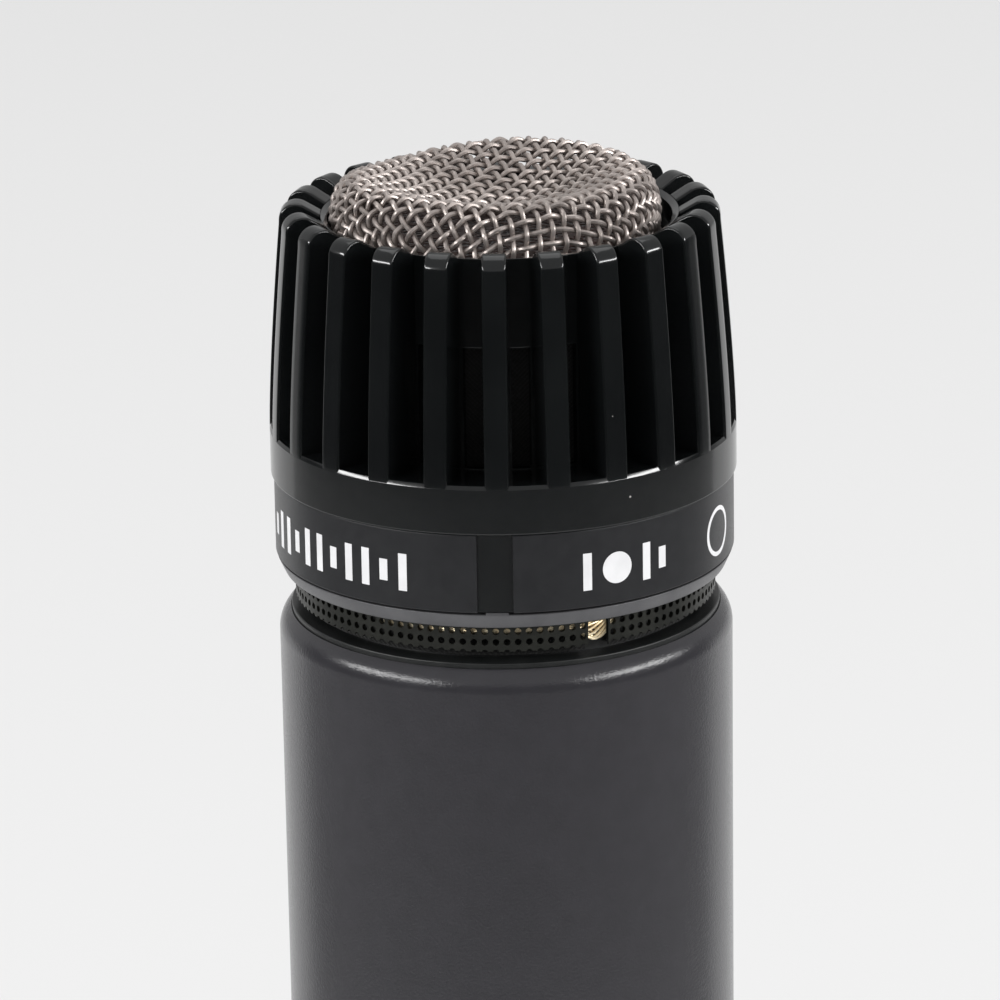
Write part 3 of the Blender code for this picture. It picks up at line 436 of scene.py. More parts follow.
for node, look in {
    "transformer_core": CORE, "transformer_coil": COPPER, "output_lead_1": LEAD_BLACK, "output_lead_2": LEAD_RED,
    "output_lead_3": LEAD_WHITE, "input_lead_1": LEAD_BLACK, "input_lead_2": LEAD_RED, "mount_seat_ring": TIN,
    "air_chamber": TIN, "chamber_grommet": RUBBER, "cartridge_housing": MATT_BLACK, "terminal_board": BOARD,
    "yoke_cup": IRON, "magnet": MAGNET, "pole_piece": IRON, "top_plate": IRON, "voice_coil": COPPER,
    "diaphragm": FILM, "resonator_plate": MATT_BLACK, "snap_ring": STEEL, "vent_felt": CLOTH,
}.items():
    for held in NODES[node].material_slots:
        held.link = "OBJECT"
        held.material = look


# ------ handle and connector
HANDLE_TOP = HANDLE_HIGH.z
TAPER_Z = 94.0 * MM
TOP_RADIUS = 15.67 * MM
TAPER_RADIUS = 15.61 * MM
BASE_RADIUS = 11.5 * MM
MOUTH_RADIUS = 14.84 * MM
MOUTH_DEPTH = 8.5 * MM
SHOULDER_ARC = 2.0 * MM                  # radius of the rounded top edge
RIM_RADIUS = 14.88 * MM
RIM_DROP = 0.12 * MM
BORE_RADIUS = 9.4 * MM
HANDLE_WALL = 2.2 * MM
SEAT_RADIUS = 13.75 * MM                 # bore between the mount's seat and the wide mouth
SEAT_Z = 106.7 * MM
SCREW_HOLE_RADIUS = 1.6 * MM
SCREW_Z = (INSERT_LOW.z + INSERT_HIGH.z) / 2


def handle_radius(height):
    """Outer radius of the tube: nearly straight at the top, curving in to its foot."""
    if height >= TAPER_Z:
        return TAPER_RADIUS + (TOP_RADIUS - TAPER_RADIUS) * (height - TAPER_Z) / (HANDLE_TOP - TAPER_Z)
    return TAPER_RADIUS - (TAPER_RADIUS - BASE_RADIUS) * (1 - height / TAPER_Z) ** 1.35


def build_handle():
    """Painted tube with a rounded shoulder, a stepped bore, a screw hole and a latch recess."""
    top = HANDLE_TOP - RIM_DROP
    steepest = acos(1 - (TOP_RADIUS - RIM_RADIUS) / SHOULDER_ARC)
    shoulder = top - SHOULDER_ARC * sin(steepest)
    outer = []
    for step in range(17):
        angle = steepest * (1 - step / 16)
        outer.append((TOP_RADIUS - SHOULDER_ARC * (1 - cos(angle)), shoulder + SHOULDER_ARC * sin(angle)))
    outer += [(handle_radius(height), height) for height in np.linspace(shoulder - 1.5 * MM, 0.5 * MM, 64)]
    corner, foot_arc = handle_radius(0.0), 0.4 * MM
    outer += [(corner - foot_arc * (1 - cos(a)), foot_arc * (1 - sin(a))) for a in np.linspace(0.0, pi / 2, 7)[1:]]
    step_z = HANDLE_TOP - MOUTH_DEPTH
    inner = [(BORE_RADIUS, 0.0, 0.35 * MM), (BORE_RADIUS, INSERT_HIGH.z + 0.3 * MM)]
    inner += [(handle_radius(height) - HANDLE_WALL, height) for height in (28 * MM, 60 * MM, 90 * MM, SEAT_Z)]
    inner += [(SEAT_RADIUS, SEAT_Z), (SEAT_RADIUS, step_z), (MOUTH_RADIUS, step_z), (MOUTH_RADIUS, top)]
    handle = turned("handle_body", rounded(outer + inner, steps=4), steps=224)
    hole = rod("hole", (0.0, BASE_RADIUS, SCREW_Z), SCREW_HOLE_RADIUS, 8.4 * MM, "Y")
    recess = block("recess", (0.0, BORE_RADIUS, 10.5 * MM), (4.6 * MM, 1.6 * MM, 3.0 * MM))
    handle = cut_with(handle, [hole, recess])
    place(handle, "handle", ["handle"], HANDLE_PAINT)


PINS = (1, 2, 3)
PIN_RADIUS = 1.2 * MM


def build_connector():
    """Insulating insert, three contact pins with round tips, and the screw that locks the insert."""
    low, high = INSERT_LOW.z, INSERT_HIGH.z
    radius = 9.1 * MM
    profile = rounded([(0.0, high), (radius, high, 0.2 * MM), (radius, low, 0.35 * MM), (0.0, low)], closed=False)
    insert = turned_solid("insulating_insert", profile, steps=128)
    cutters = []
    for number in PINS:
        x, y, _ = sum(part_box(f"contact_pin_{number}"), Vector()) / 2
        cutters.append(rod(f"hole_{number}", (x, y, (low + high) / 2), PIN_RADIUS + 0.3 * MM, 20 * MM))
    cutters.append(rod("socket", (0.0, radius, SCREW_Z), SCREW_HOLE_RADIUS, 4.0 * MM, "Y"))
    insert = cut_with(insert, cutters)
    place(insert, "handle", ["connector_insert"], INSERT)
    for number in PINS:
        pin_low, pin_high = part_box(f"contact_pin_{number}")
        tip, top = pin_low.z, pin_high.z
        profile = [(0.0, top), (PIN_RADIUS * 0.8, top), (PIN_RADIUS, top - 0.3 * MM)]
        profile += [(PIN_RADIUS * sin(a), tip + PIN_RADIUS * (1 - cos(a)))
                    for a in np.linspace(pi / 2, 0.0, 9)]
        pin = turned_solid(f"contact_{number}", profile, steps=48)
        x, y, _ = (pin_low + pin_high) / 2
        pin.data.transform(Matrix.Translation((x, y, 0.0)))
        place(pin, "handle", [f"contact_pin_{number}"], SILVER)
    screw_low, screw_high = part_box("connector_screw")
    middle = (screw_low + screw_high) / 2
    length = screw_high.y - screw_low.y
    screw = rod("set_screw", middle, 1.3 * MM, length, "Y")
    slot = block("slot", (0.0, screw_high.y, SCREW_Z), (4.0 * MM, 1.2 * MM, 0.4 * MM))
    screw = cut_with(screw, [slot])
    place(screw, "handle", ["connector_screw"], STEEL)


# ------ soft pieces inside
CLOTH_HALF = 0.06 * MM                   # half the cloth's thickness
FILTER_RADIUS = 10.0 * MM


def build_soft_inside():
    """Rubber mount, foam round the transformer, foam and cloth of the head."""
    low, high = MOUNT_LOW.z, MOUNT_HIGH.z
    outer, inner, waist = 13.45 * MM, 11.7 * MM, 0.5 * MM
    profile = []
    for step in range(25):
        share = step / 24
        profile.append((outer - waist * sin(pi * share) ** 2, high + (low - high) * share))
    profile += [(inner, low), (inner, high)]
    mount = turned("rubber_mount", profile, steps=128)
    place(mount, "handle", ["shock_mount"], RUBBER)
    mount.modifiers.clear()
    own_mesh(mount)

    low, high = (corner.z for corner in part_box("transformer_wrap"))
    outer, inner = 10.6 * MM, 9.0 * MM
    profile = rounded([(outer, high, 0.5 * MM), (outer, low, 0.5 * MM), (inner, low, 0.4 * MM),
                       (inner, high, 0.4 * MM)])
    wrap = turned("foam_sleeve", profile, steps=96)
    place(wrap, "handle", ["transformer_wrap"], WRAP)

    low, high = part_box("pop_filter")[0].z, TOP_Z - DISH - 1.15 * MM
    profile = [(0.0, high)]
    profile += [(r, high - 0.5 * MM * (r / FILTER_RADIUS) ** 4) for r in np.linspace(0.8 * MM, 9.6 * MM, 12)]
    profile += [(9.9 * MM, high - 0.6 * MM), (FILTER_RADIUS, high - 0.8 * MM), (FILTER_RADIUS, low + 0.3 * MM),
                (9.7 * MM, low), (0.0, low)]
    disc = turned_solid("foam_filter", profile, steps=128)
    place(disc, "head", ["pop_filter"], FILTER)

    low, high = (corner.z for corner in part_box("port_cloth"))
    radius = 11.25 * MM
    outer, inner = radius + CLOTH_HALF, radius - CLOTH_HALF
    profile = [(outer, high), (outer, low), (inner, low), (inner, high)]
    cloth = turned("port_screen", profile, steps=192)
    place(cloth, "head", ["port_cloth"], CLOTH)


# ------ cartridge end
def build_collar():
    """Flanged tube that carries the cartridge: a groove for the snap ring, and a step in its bore."""
    flange_top, flange_low = VENT_LOW.z - 0.3 * MM, HANDLE_TOP - 4.15 * MM
    tube, neck, rim = 13.3 * MM, 11.4 * MM, MOUTH_RADIUS - 0.05 * MM
    narrow_bore, wide_bore, bore_step = 10.2 * MM, 11.0 * MM, 127.7 * MM
    bottom, top = COLLAR_LOW.z, COLLAR_HIGH.z
    ring_low, ring_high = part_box("snap_ring")
    groove, groove_low, groove_high = 12.5 * MM, ring_low.z - 0.3 * MM, ring_high.z + 0.3 * MM
    points = [(tube, top, 0.1 * MM), (tube, groove_high), (groove, groove_high), (groove, groove_low),
              (tube, groove_low), (tube, flange_top), (rim, flange_top, 0.10 * MM), (rim, flange_low),
              (neck, flange_low), (neck, bottom, 0.2 * MM), (narrow_bore, bottom), (narrow_bore, bore_step),
              (wide_bore, bore_step), (wide_bore, top)]
    collar = turned("collar", rounded(points), steps=192)
    place(collar, "cartridge", ["cartridge_collar"], MATT_BLACK)


WINDOW_ANGLE = 26.95
HOLE_PITCH = 0.745 * MM
HOLE_RADIUS = 0.235 * MM
HOLE_ROW_Z = SLOT_Z - 10.63 * MM          # middle of the highest row that shows below the lip
VENT_RADIUS = 14.5 * MM
VENT_SHEET = 0.3 * MM
COIL_RADIUS = 13.95 * MM                 # from the axis to the middle of the twisted wires
COIL_WIRE_RADIUS = 0.095 * MM
COIL_REACH = 34.0                        # the wires end this far to each side of the front
COIL_STRANDS, COIL_TURNS = 9, 3.1


def build_vent_screen():
    """Thin ring pierced by a square grid of round holes, with one window of two holes by two."""
    high = VENT_HIGH.z
    columns = round(2 * pi * VENT_RADIUS / HOLE_PITCH)
    width = 360.0 / columns
    rows = 4
    corner_count = 12
    window_column = round(WINDOW_ANGLE / width - 0.5)
    offset = WINDOW_ANGLE - (window_column + 0.5) * width
    half_x, half_z = pi * VENT_RADIUS / columns, HOLE_PITCH / 2
    outline = [(cos(2 * pi * (k + 0.5) / corner_count), sin(2 * pi * (k + 0.5) / corner_count))
               for k in range(corner_count)]
    square = [(c / max(abs(c), abs(s)) * half_x, s / max(abs(c), abs(s)) * half_z) for c, s in outline]
    verts, faces = [], []
    for column in range(columns):
        for row in range(rows):
            if row > 0 and column in (window_column, window_column + 1):
                continue
            middle = HOLE_ROW_Z + (1 - row) * HOLE_PITCH
            turn = column * width + offset
            points = []
            for radius in (VENT_RADIUS, VENT_RADIUS - VENT_SHEET):
                points += [around(radius, turn + degrees(x / VENT_RADIUS), middle + z) for x, z in square]
                points += [around(radius, turn + degrees(HOLE_RADIUS * c / VENT_RADIUS), middle + HOLE_RADIUS * s)
                           for c, s in outline]
            made = []
            n = corner_count
            sides = n if row < rows - 1 else n // 2 - 1
            for i in range(sides):
                j = (i + 1) % n
                made.append((i, j, n + j, n + i))
                made.append((2 * n + i, 3 * n + i, 3 * n + j, 2 * n + j))
                made.append((n + i, n + j, 3 * n + j, 3 * n + i))
            add_shape(verts, faces, points, made)
    grid_high = HOLE_ROW_Z + 1.5 * HOLE_PITCH
    band = [(VENT_RADIUS, high), (VENT_RADIUS, grid_high), (VENT_RADIUS - VENT_SHEET, grid_high),
            (VENT_RADIUS - VENT_SHEET, high)]
    add_shape(verts, faces, *lathe_data(band, columns))
    screen = new_object("vent_screen", verts, faces, even=False)
    place(screen, "cartridge", ["vent_ring"], VENT)


def tube_data(path, radius, frames, sides=8):
    """A closed round tube along points, each with its own normal direction."""
    path = np.asarray(path, float)
    frames = np.asarray(frames, float)
    tangent = np.gradient(path, axis=0)
    tangent /= np.linalg.norm(tangent, axis=1)[:, None]
    normal = frames - (frames * tangent).sum(1)[:, None] * tangent
    normal /= np.linalg.norm(normal, axis=1)[:, None]
    side = np.cross(tangent, normal)
    angles = 2 * pi * np.arange(sides) / sides
    rings = (path[:, None, :] + radius * (np.cos(angles)[None, :, None] * normal[:, None, :]
                                          + np.sin(angles)[None, :, None] * side[:, None, :]))
    verts = rings.reshape(-1, 3)
    return verts, quads(len(path), sides) + end_caps(len(path), sides)


def build_coil_lead():
    """Twisted fine wires that run behind the upper holes and show in the window."""
    verts, faces = [], []
    window_z = HOLE_ROW_Z - HOLE_PITCH / 2 - 0.26 * MM
    steps = 160
    for strand in range(COIL_STRANDS):
        path, normals = [], []
        for step in range(steps + 1):
            share = step / steps
            angle = COIL_REACH * (2 * share - 1)
            twist = 2 * pi * (share * COIL_TURNS + strand / COIL_STRANDS)
            near = exp(-((angle - WINDOW_ANGLE) / 5.0) ** 2)
            spread = (0.20 + 0.38 * near) * MM
            height = HOLE_ROW_Z + (window_z - HOLE_ROW_Z) * near + spread * sin(twist)
            radius = COIL_RADIUS + 0.12 * MM * cos(twist)
            path.append(around(radius, angle, height))
            normals.append(around(1.0, angle, 0.0))
        add_shape(verts, faces, *tube_data(path, COIL_WIRE_RADIUS, normals))
    wires = new_object("coil_wires", verts, faces, even=False)
    place(wires, "cartridge", ["coil_lead"], BRASS_WIRE)


# ------ head shell
HEAD_RADIUS = 16.0 * MM
RIB_COUNT = 24
RIB_WIDTH = 1.63 * MM
RIB_TOP_RADIUS = 15.0 * MM
RIB_TOP_Z = SLOT_Z + 15.4 * MM
RIB_CORNER = 1.15 * MM
RIB_SLOPE = 30.0
RIB_EDGE = 0.17 * MM                      # rounding of a rib's long edges
RIB_INNER_RADIUS = 12.2 * MM
RIB_FOOT = 0.25 * MM                      # how far a rib reaches down into the band
WALL_RADIUS = 12.2 * MM
WALL_LOW = SLOT_Z + 8.4 * MM              # open below this, closed above
SHELL_BORE = 11.7 * MM
SHELL_STEPS = 240
BAND_LOW = SLOT_Z - 3.4 * MM
BED_RADIUS = 15.62 * MM                   # body under the strip


def rib_radius(rise):
    """Outer radius of a rib at a height above the slots' ledge."""
    return HEAD_RADIUS - (HEAD_RADIUS - RIB_TOP_RADIUS) * (max(rise, 0.0) / (14.1 * MM)) ** 1.35


def slope_start():
    """Where a rib's rounded corner runs into its sloping top."""
    slope = radians(RIB_SLOPE)
    return (RIB_TOP_RADIUS - RIB_CORNER - RIB_CORNER * sin(slope), RIB_TOP_Z - RIB_CORNER + RIB_CORNER * cos(slope))


def slope_height(radius):
    """Height of the sloping top at a radius."""
    start = slope_start()
    return start[1] - (start[0] - radius) * tan(radians(RIB_SLOPE))


def rib_outline():
    """Up the outer side, round the corner and down the sloping top: points and inward normals."""
    points = [(HEAD_RADIUS, SLOT_Z - RIB_FOOT)]
    points += [(rib_radius(rise), SLOT_Z + rise) for rise in np.linspace(0.0, 14.0 * MM, 15)]
    centre = (RIB_TOP_RADIUS - RIB_CORNER, RIB_TOP_Z - RIB_CORNER)
    for angle in np.linspace(8.0, 90.0 + RIB_SLOPE, 15):
        points.append((centre[0] + RIB_CORNER * cos(radians(angle)), centre[1] + RIB_CORNER * sin(radians(angle))))
    for radius in np.linspace(slope_start()[0], RIB_INNER_RADIUS, 5)[1:]:
        points.append((radius, slope_height(radius)))
    outline = np.array(points)
    along = np.gradient(outline, axis=0)
    along /= np.linalg.norm(along, axis=1)[:, None]
    inward = np.stack([-along[:, 1], along[:, 0]], axis=1)
    return outline, inward


def rib_shape():
    """One rib at the front, as a closed solid."""
    outline, inward = rib_outline()
    half = RIB_WIDTH / 2
    columns = [(-half + RIB_EDGE * (1 - cos(a)), RIB_EDGE * (1 - sin(a))) for a in np.linspace(0.0, pi / 2, 6)]
    columns += [(-half / 3, 0.0), (half / 3, 0.0)] + [(-t, inset) for t, inset in reversed(columns)]
    count, width = len(outline), len(columns)
    verts = []
    for (radius, height), (inward_r, inward_z) in zip(outline, inward):
        for sideways, inset in columns:
            reach = radius + inward_r * inset
            verts.append((sideways, -sqrt(reach ** 2 - sideways ** 2), height + inward_z * inset))
    back, back_high = SHELL_BORE + 0.2 * MM, SLOT_Z + 12.9 * MM
    for sideways in (-half, half):
        verts += [(sideways, -RIB_INNER_RADIUS, back_high), (sideways, -back, back_high),
                  (sideways, -back, SLOT_Z - RIB_FOOT)]
    faces = quads(count, width, wrapped=False)
    extra = count * width
    faces.append((*range(0, extra, width), extra, extra + 1, extra + 2))
    faces.append((extra + 5, extra + 4, extra + 3, *reversed(range(width - 1, extra, width))))
    faces.append((*range(extra - width, extra), extra + 3, extra))
    faces.append((extra, extra + 3, extra + 4, extra + 1))
    faces.append((extra + 1, extra + 4, extra + 5, extra + 2))
    faces.append((*reversed(range(width)), extra + 2, extra + 5))
    return verts, faces


def build_shell():
    """Plain band, ribs, short posts behind them, and the wall that closes the upper half of the slots."""
    bottom, skirt_bore, skirt_top = STRIP_LOW.z, 13.6 * MM, SLOT_Z - 1.3 * MM
    points = [(WALL_RADIUS, SLOT_Z + 0.05 * MM), (WALL_RADIUS, SLOT_Z),
              (HEAD_RADIUS - 0.11 * MM, SLOT_Z, 0.03 * MM), (HEAD_RADIUS, SLOT_Z - 0.27 * MM, 0.04 * MM),
              (HEAD_RADIUS, BAND_LOW, 0.14 * MM), (BED_RADIUS, BAND_LOW), (BED_RADIUS, bottom, 0.05 * MM),
              (skirt_bore, bottom), (skirt_bore, skirt_top), (SHELL_BORE, skirt_top),
              (SHELL_BORE, SLOT_Z + 0.05 * MM)]
    verts, faces = lathe_data(rounded(points), SHELL_STEPS)
    wall_high = SLOT_Z + 13.0 * MM
    wall = [(WALL_RADIUS, wall_high), (WALL_RADIUS, WALL_LOW, 0.1 * MM), (SHELL_BORE, WALL_LOW),
            (SHELL_BORE, wall_high)]
    add_shape(verts, faces, *lathe_data(rounded(wall, steps=3), SHELL_STEPS))
    rib_verts, rib_faces = rib_shape()
    pitch = 360.0 / RIB_COUNT
    post_half = WALL_RADIUS * pi / RIB_COUNT - 0.65 * MM
    for rib in range(RIB_COUNT):
        turn = Matrix.Rotation(radians(rib * pitch), 4, "Z")
        add_shape(verts, faces, [turn @ Vector(v) for v in rib_verts], rib_faces)
        post = []
        for height in (SLOT_Z - 0.1 * MM, WALL_LOW + 0.1 * MM):
            for radius in (SHELL_BORE, WALL_RADIUS):
                post += [around(radius, rib * pitch, height, side) for side in (-post_half, post_half)]
        box_faces = [(0, 1, 3, 2), (4, 6, 7, 5), (0, 2, 6, 4), (1, 5, 7, 3), (0, 4, 5, 1), (2, 3, 7, 6)]
        add_shape(verts, faces, post, box_faces)
    shell = new_object("ribbed_shell", verts, faces)
    place(shell, "head", ["resonator_shell"], GLOSS)


# ------ strip, marks and lip
STRIP_RADIUS = 15.8 * MM
STRIP_SHEET = 0.15 * MM
STRIP_GAP = 2.42 * MM
STRIP_GAP_ANGLE = -0.8
MARK_WIDTH = 0.62 * MM
TALL_MARK, SHORT_MARK = 2.6 * MM, 1.5 * MM


def swept(outline, first, last, steps):
    """An outline of (radius, height) swept round the axis from one angle to another, with flat ends."""
    verts = []
    for step in range(steps + 1):
        angle = first + (last - first) * step / steps
        verts += [around(r, angle, z) for r, z in outline]
    return verts, quads(steps + 1, len(outline)) + end_caps(steps + 1, len(outline))


def build_strip():
    """Thin strip bent round the body, its two ends a little apart at the front."""
    low, high = STRIP_LOW.z, BAND_LOW - 0.07 * MM
    inner = STRIP_RADIUS - STRIP_SHEET
    edge = 0.07 * MM
    outline = rounded([(STRIP_RADIUS, high, edge), (STRIP_RADIUS, low, edge), (inner, low), (inner, high)], steps=4)
    half_gap = degrees(STRIP_GAP / 2 / STRIP_RADIUS)
    verts, faces = swept(outline, STRIP_GAP_ANGLE + half_gap, STRIP_GAP_ANGLE + 360.0 - half_gap, 300)
    strip = new_object("name_strip", verts, faces)
    place(strip, "head", ["label_strip"], STRIP)


def build_marks():
    """Plain printed shapes: bars, a dot and a ring, as thin layers on the strip."""
    inner = STRIP_RADIUS - 0.01 * MM
    outer = STRIP_RADIUS + 0.018 * MM
    middle = (STRIP_LOW.z + STRIP_HIGH.z) / 2 - 0.1 * MM
    verts, faces = [], []

    def patch(angle, outer_loop, inner_loop=None):
        """A raised layer between two loops of (x, z) points, or filling one loop."""
        loops = [outer_loop, inner_loop or [(0.0, 0.0)] * len(outer_loop)]
        points = []
        for radius in (outer, inner):
            for loop in loops:
                points += [around(radius, angle + degrees(x / radius), middle + z) for x, z in loop]
        n = len(outer_loop)
        made = []
        for i in range(n):
            j = (i + 1) % n
            made.append((i, j, n + j, n + i))
            made.append((2 * n + i, 3 * n + i, 3 * n + j, 2 * n + j))
            made.append((i, 2 * n + i, 2 * n + j, j))
            if inner_loop:
                made.append((n + i, n + j, 3 * n + j, 3 * n + i))
        add_shape(verts, faces, points, made)

    def bar(angle, height):
        half, top = MARK_WIDTH / 2, height / 2
        patch(angle, [(-half, -top), (0.0, -top), (half, -top), (half, top), (0.0, top), (-half, top)])

    def circle(radius, steps=40):
        return [(radius * cos(2 * pi * i / steps), radius * sin(2 * pi * i / steps)) for i in range(steps)]

    for index in range(11):
        bar(-77.0 + 5.3 * index, TALL_MARK if index % 3 else SHORT_MARK)
    bar(22.0, TALL_MARK)
    patch(30.0, circle(1.1 * MM))
    bar(38.5, TALL_MARK)
    bar(43.5, SHORT_MARK)
    patch(68.0, circle(1.75 * MM, 56), circle(1.45 * MM, 56))
    marks = new_object("printed_marks", verts, faces, even=False)
    bm = bmesh.new()
    bm.from_mesh(marks.data)
    bmesh.ops.remove_doubles(bm, verts=bm.verts, dist=1e-6)
    bm.to_mesh(marks.data)
    bm.free()
    place(marks, "head", (), PRINT)


def build_lip():
    """Chamfered ring under the strip, with a small tab in the strip's gap."""
    bottom, top = LIP_LOW.z, STRIP_LOW.z - 0.16 * MM
    inner = 14.8 * MM
    outline = rounded([(15.74 * MM, top, 0.05 * MM), (15.26 * MM, bottom, 0.08 * MM), (inner, bottom),
                       (inner, top)], steps=4)
    verts, faces = lathe_data(outline, SHELL_STEPS)
    tab_outer, tab_inner, tab_low, tab_high = 15.71 * MM, 15.2 * MM, top - 0.05 * MM, top + 0.15 * MM
    tab = [(tab_outer, tab_high), (tab_outer, tab_low), (tab_inner, tab_low), (tab_inner, tab_high)]
    add_shape(verts, faces, *swept(tab, -3.2, 2.4, 6))
    lip = new_object("lip_ring", verts, faces)
    place(lip, "head", ["base_lip_ring"], LIP)


# ------ grille
WIRE_RADIUS = 0.175 * MM
WIRE_PITCH = 0.92 * MM
GRILLE_SHIFT = 0.33 * MM                 # the cap sits a little to one side
WEAVE_ANGLE = 22.0                       # where the wires stand upright on the side
DISH_STEPS = 200                         # points along the dished part of the profile
CREST_RADIUS = 9.3 * MM
CREST_Z = TOP_Z - 2 * WIRE_RADIUS
WIDEST_RADIUS = 11.0 * MM
WIDEST_Z = SLOT_Z + 14.8 * MM
FOOT_RADIUS = 10.85 * MM
FOOT_Z = SLOT_Z + 12.3 * MM
DENTS = ((0.82 * MM, 225.0, 42.0), (0.05 * MM, 125.0, 30.0))      # depth, direction and spread


def grille_profile():
    """Middle surface of the weave, from its dished centre to below its foot, by arc length."""
    points = []
    for share in np.linspace(0.0, 1.0, DISH_STEPS, endpoint=False):
        points.append((CREST_RADIUS * share, CREST_Z - DISH * (1 - share ** 2) ** 1.5))
    for angle in np.linspace(pi / 2, 0.0, 120):
        points.append((CREST_RADIUS + (WIDEST_RADIUS - CREST_RADIUS) * cos(angle),
                       WIDEST_Z + (CREST_Z - WIDEST_Z) * sin(angle)))
    slope = (WIDEST_RADIUS - FOOT_RADIUS) / (WIDEST_Z - FOOT_Z)
    for drop in np.linspace(0.2 * MM, 9.0 * MM, 40):
        points.append((WIDEST_RADIUS - slope * drop, WIDEST_Z - drop))
    line = np.array(points)
    length = np.concatenate([[0.0], np.cumsum(np.linalg.norm(np.diff(line, axis=0), axis=1))])
    return length, line[:, 0], line[:, 1]


GRILLE_S, GRILLE_R, GRILLE_Z = grille_profile()


def on_grille(flat, pressed=False):
    """Points of the surface for flat (u, v) coordinates whose distance from 0 is the arc length.

    The pressed surface is the same one with its crest pushed down unevenly and moved to one side.
    """
    flat = np.atleast_2d(flat)
    arc = np.maximum(np.linalg.norm(flat, axis=1), 1e-9)
    radius = np.interp(arc, GRILLE_S, GRILLE_R)
    height = np.interp(arc, GRILLE_S, GRILLE_Z)
    points = np.stack([radius * flat[:, 0] / arc, radius * flat[:, 1] / arc, height], axis=1)
    if pressed:
        angle = (np.degrees(np.arctan2(points[:, 0], -points[:, 1])) + WEAVE_ANGLE) % 360.0
        sunk = 0.35 * MM
        for depth, middle, spread in DENTS:
            sunk = sunk + depth * np.exp(-((angle - middle) / spread) ** 2)
        outside = np.clip((height - FOOT_Z) / (CREST_Z - FOOT_Z), 0.0, 1.0)
        inside = (radius / CREST_RADIUS) ** 2
        points[:, 2] -= sunk * np.where(arc > GRILLE_S[DISH_STEPS], outside, inside)
        points[:, 0] -= GRILLE_SHIFT
    return points


def grille_normal(flat):
    """Outward directions of the pressed surface."""
    step = 0.02 * MM
    u_way = on_grille(flat + (step, 0.0), True) - on_grille(flat - (step, 0.0), True)
    v_way = on_grille(flat + (0.0, step), True) - on_grille(flat - (0.0, step), True)
    normal = np.cross(u_way, v_way)
    return normal / np.linalg.norm(normal, axis=1)[:, None]


def fishnet(count):
    """Crossings of a square net of fixed mesh laid on the surface: one quadrant, mirrored into all four."""
    net = np.zeros((count + 1, count + 1, 2))
    for i in range(count + 1):
        net[i, 0] = (i * WIRE_PITCH, 0.0)
        net[0, i] = (0.0, i * WIRE_PITCH)
    step = 0.001 * MM
    for i in range(1, count + 1):
        for j in range(1, i + 1):
            first = on_grille(net[i - 1, j])[0]
            second = on_grille(net[i, j - 1])[0]
            guess = net[i - 1, j] + net[i, j - 1] - net[i - 1, j - 1]

            def miss(at):
                point = on_grille(at)[0]
                return np.array([np.linalg.norm(point - first) - WIRE_PITCH,
                                 np.linalg.norm(point - second) - WIRE_PITCH])

            for _ in range(12):
                error = miss(guess)
                if abs(error).max() < 1e-8:
                    break
                slope = np.stack([(miss(guess + (step, 0.0)) - error) / step,
                                  (miss(guess + (0.0, step)) - error) / step], axis=1)
                slope += np.eye(2) * 1e-9
                move = np.linalg.solve(slope, -error)
                size = np.linalg.norm(move)
                guess = guess + move * min(1.0, 0.3 * MM / max(size, 1e-12))
            net[i, j] = guess
            net[j, i] = guess[::-1]
    full = np.zeros((2 * count + 1, 2 * count + 1, 2))
    for i in range(-count, count + 1):
        for j in range(-count, count + 1):
            u, v = net[abs(i), abs(j)]
            full[i + count, j + count] = (u if i >= 0 else -u, v if j >= 0 else -v)
    return full


def smooth_line(points, per_span):
    """Catmull-Rom curve through points, with a whole number of samples between them."""
    padded = np.concatenate([[2 * points[0] - points[1]], points, [2 * points[-1] - points[-2]]])
    made = []
    for index in range(1, len(padded) - 2):
        p0, p1, p2, p3 = padded[index - 1:index + 3]
        for step in range(per_span):
            t = step / per_span
            made.append(0.5 * (2 * p1 + (p2 - p0) * t + (2 * p0 - 5 * p1 + 4 * p2 - p3) * t ** 2
                               + (3 * p1 - p0 - 3 * p2 + p3) * t ** 3))
    made.append(padded[-2])
    return np.array(made)


def uneven(flat):
    """Slight waviness of a hand-pressed weave."""
    u, v = flat[..., 0] / MM, flat[..., 1] / MM
    shift_u = 0.10 * np.sin(0.47 * v + 0.8) * np.cos(0.31 * u) + 0.05 * np.sin(1.1 * v - 0.6 * u)
    shift_v = 0.10 * np.sin(0.43 * u - 0.5) * np.cos(0.37 * v + 1.1) + 0.05 * np.sin(1.3 * u + 0.5 * v)
    return flat + np.stack([shift_u, shift_v], axis=-1) * MM


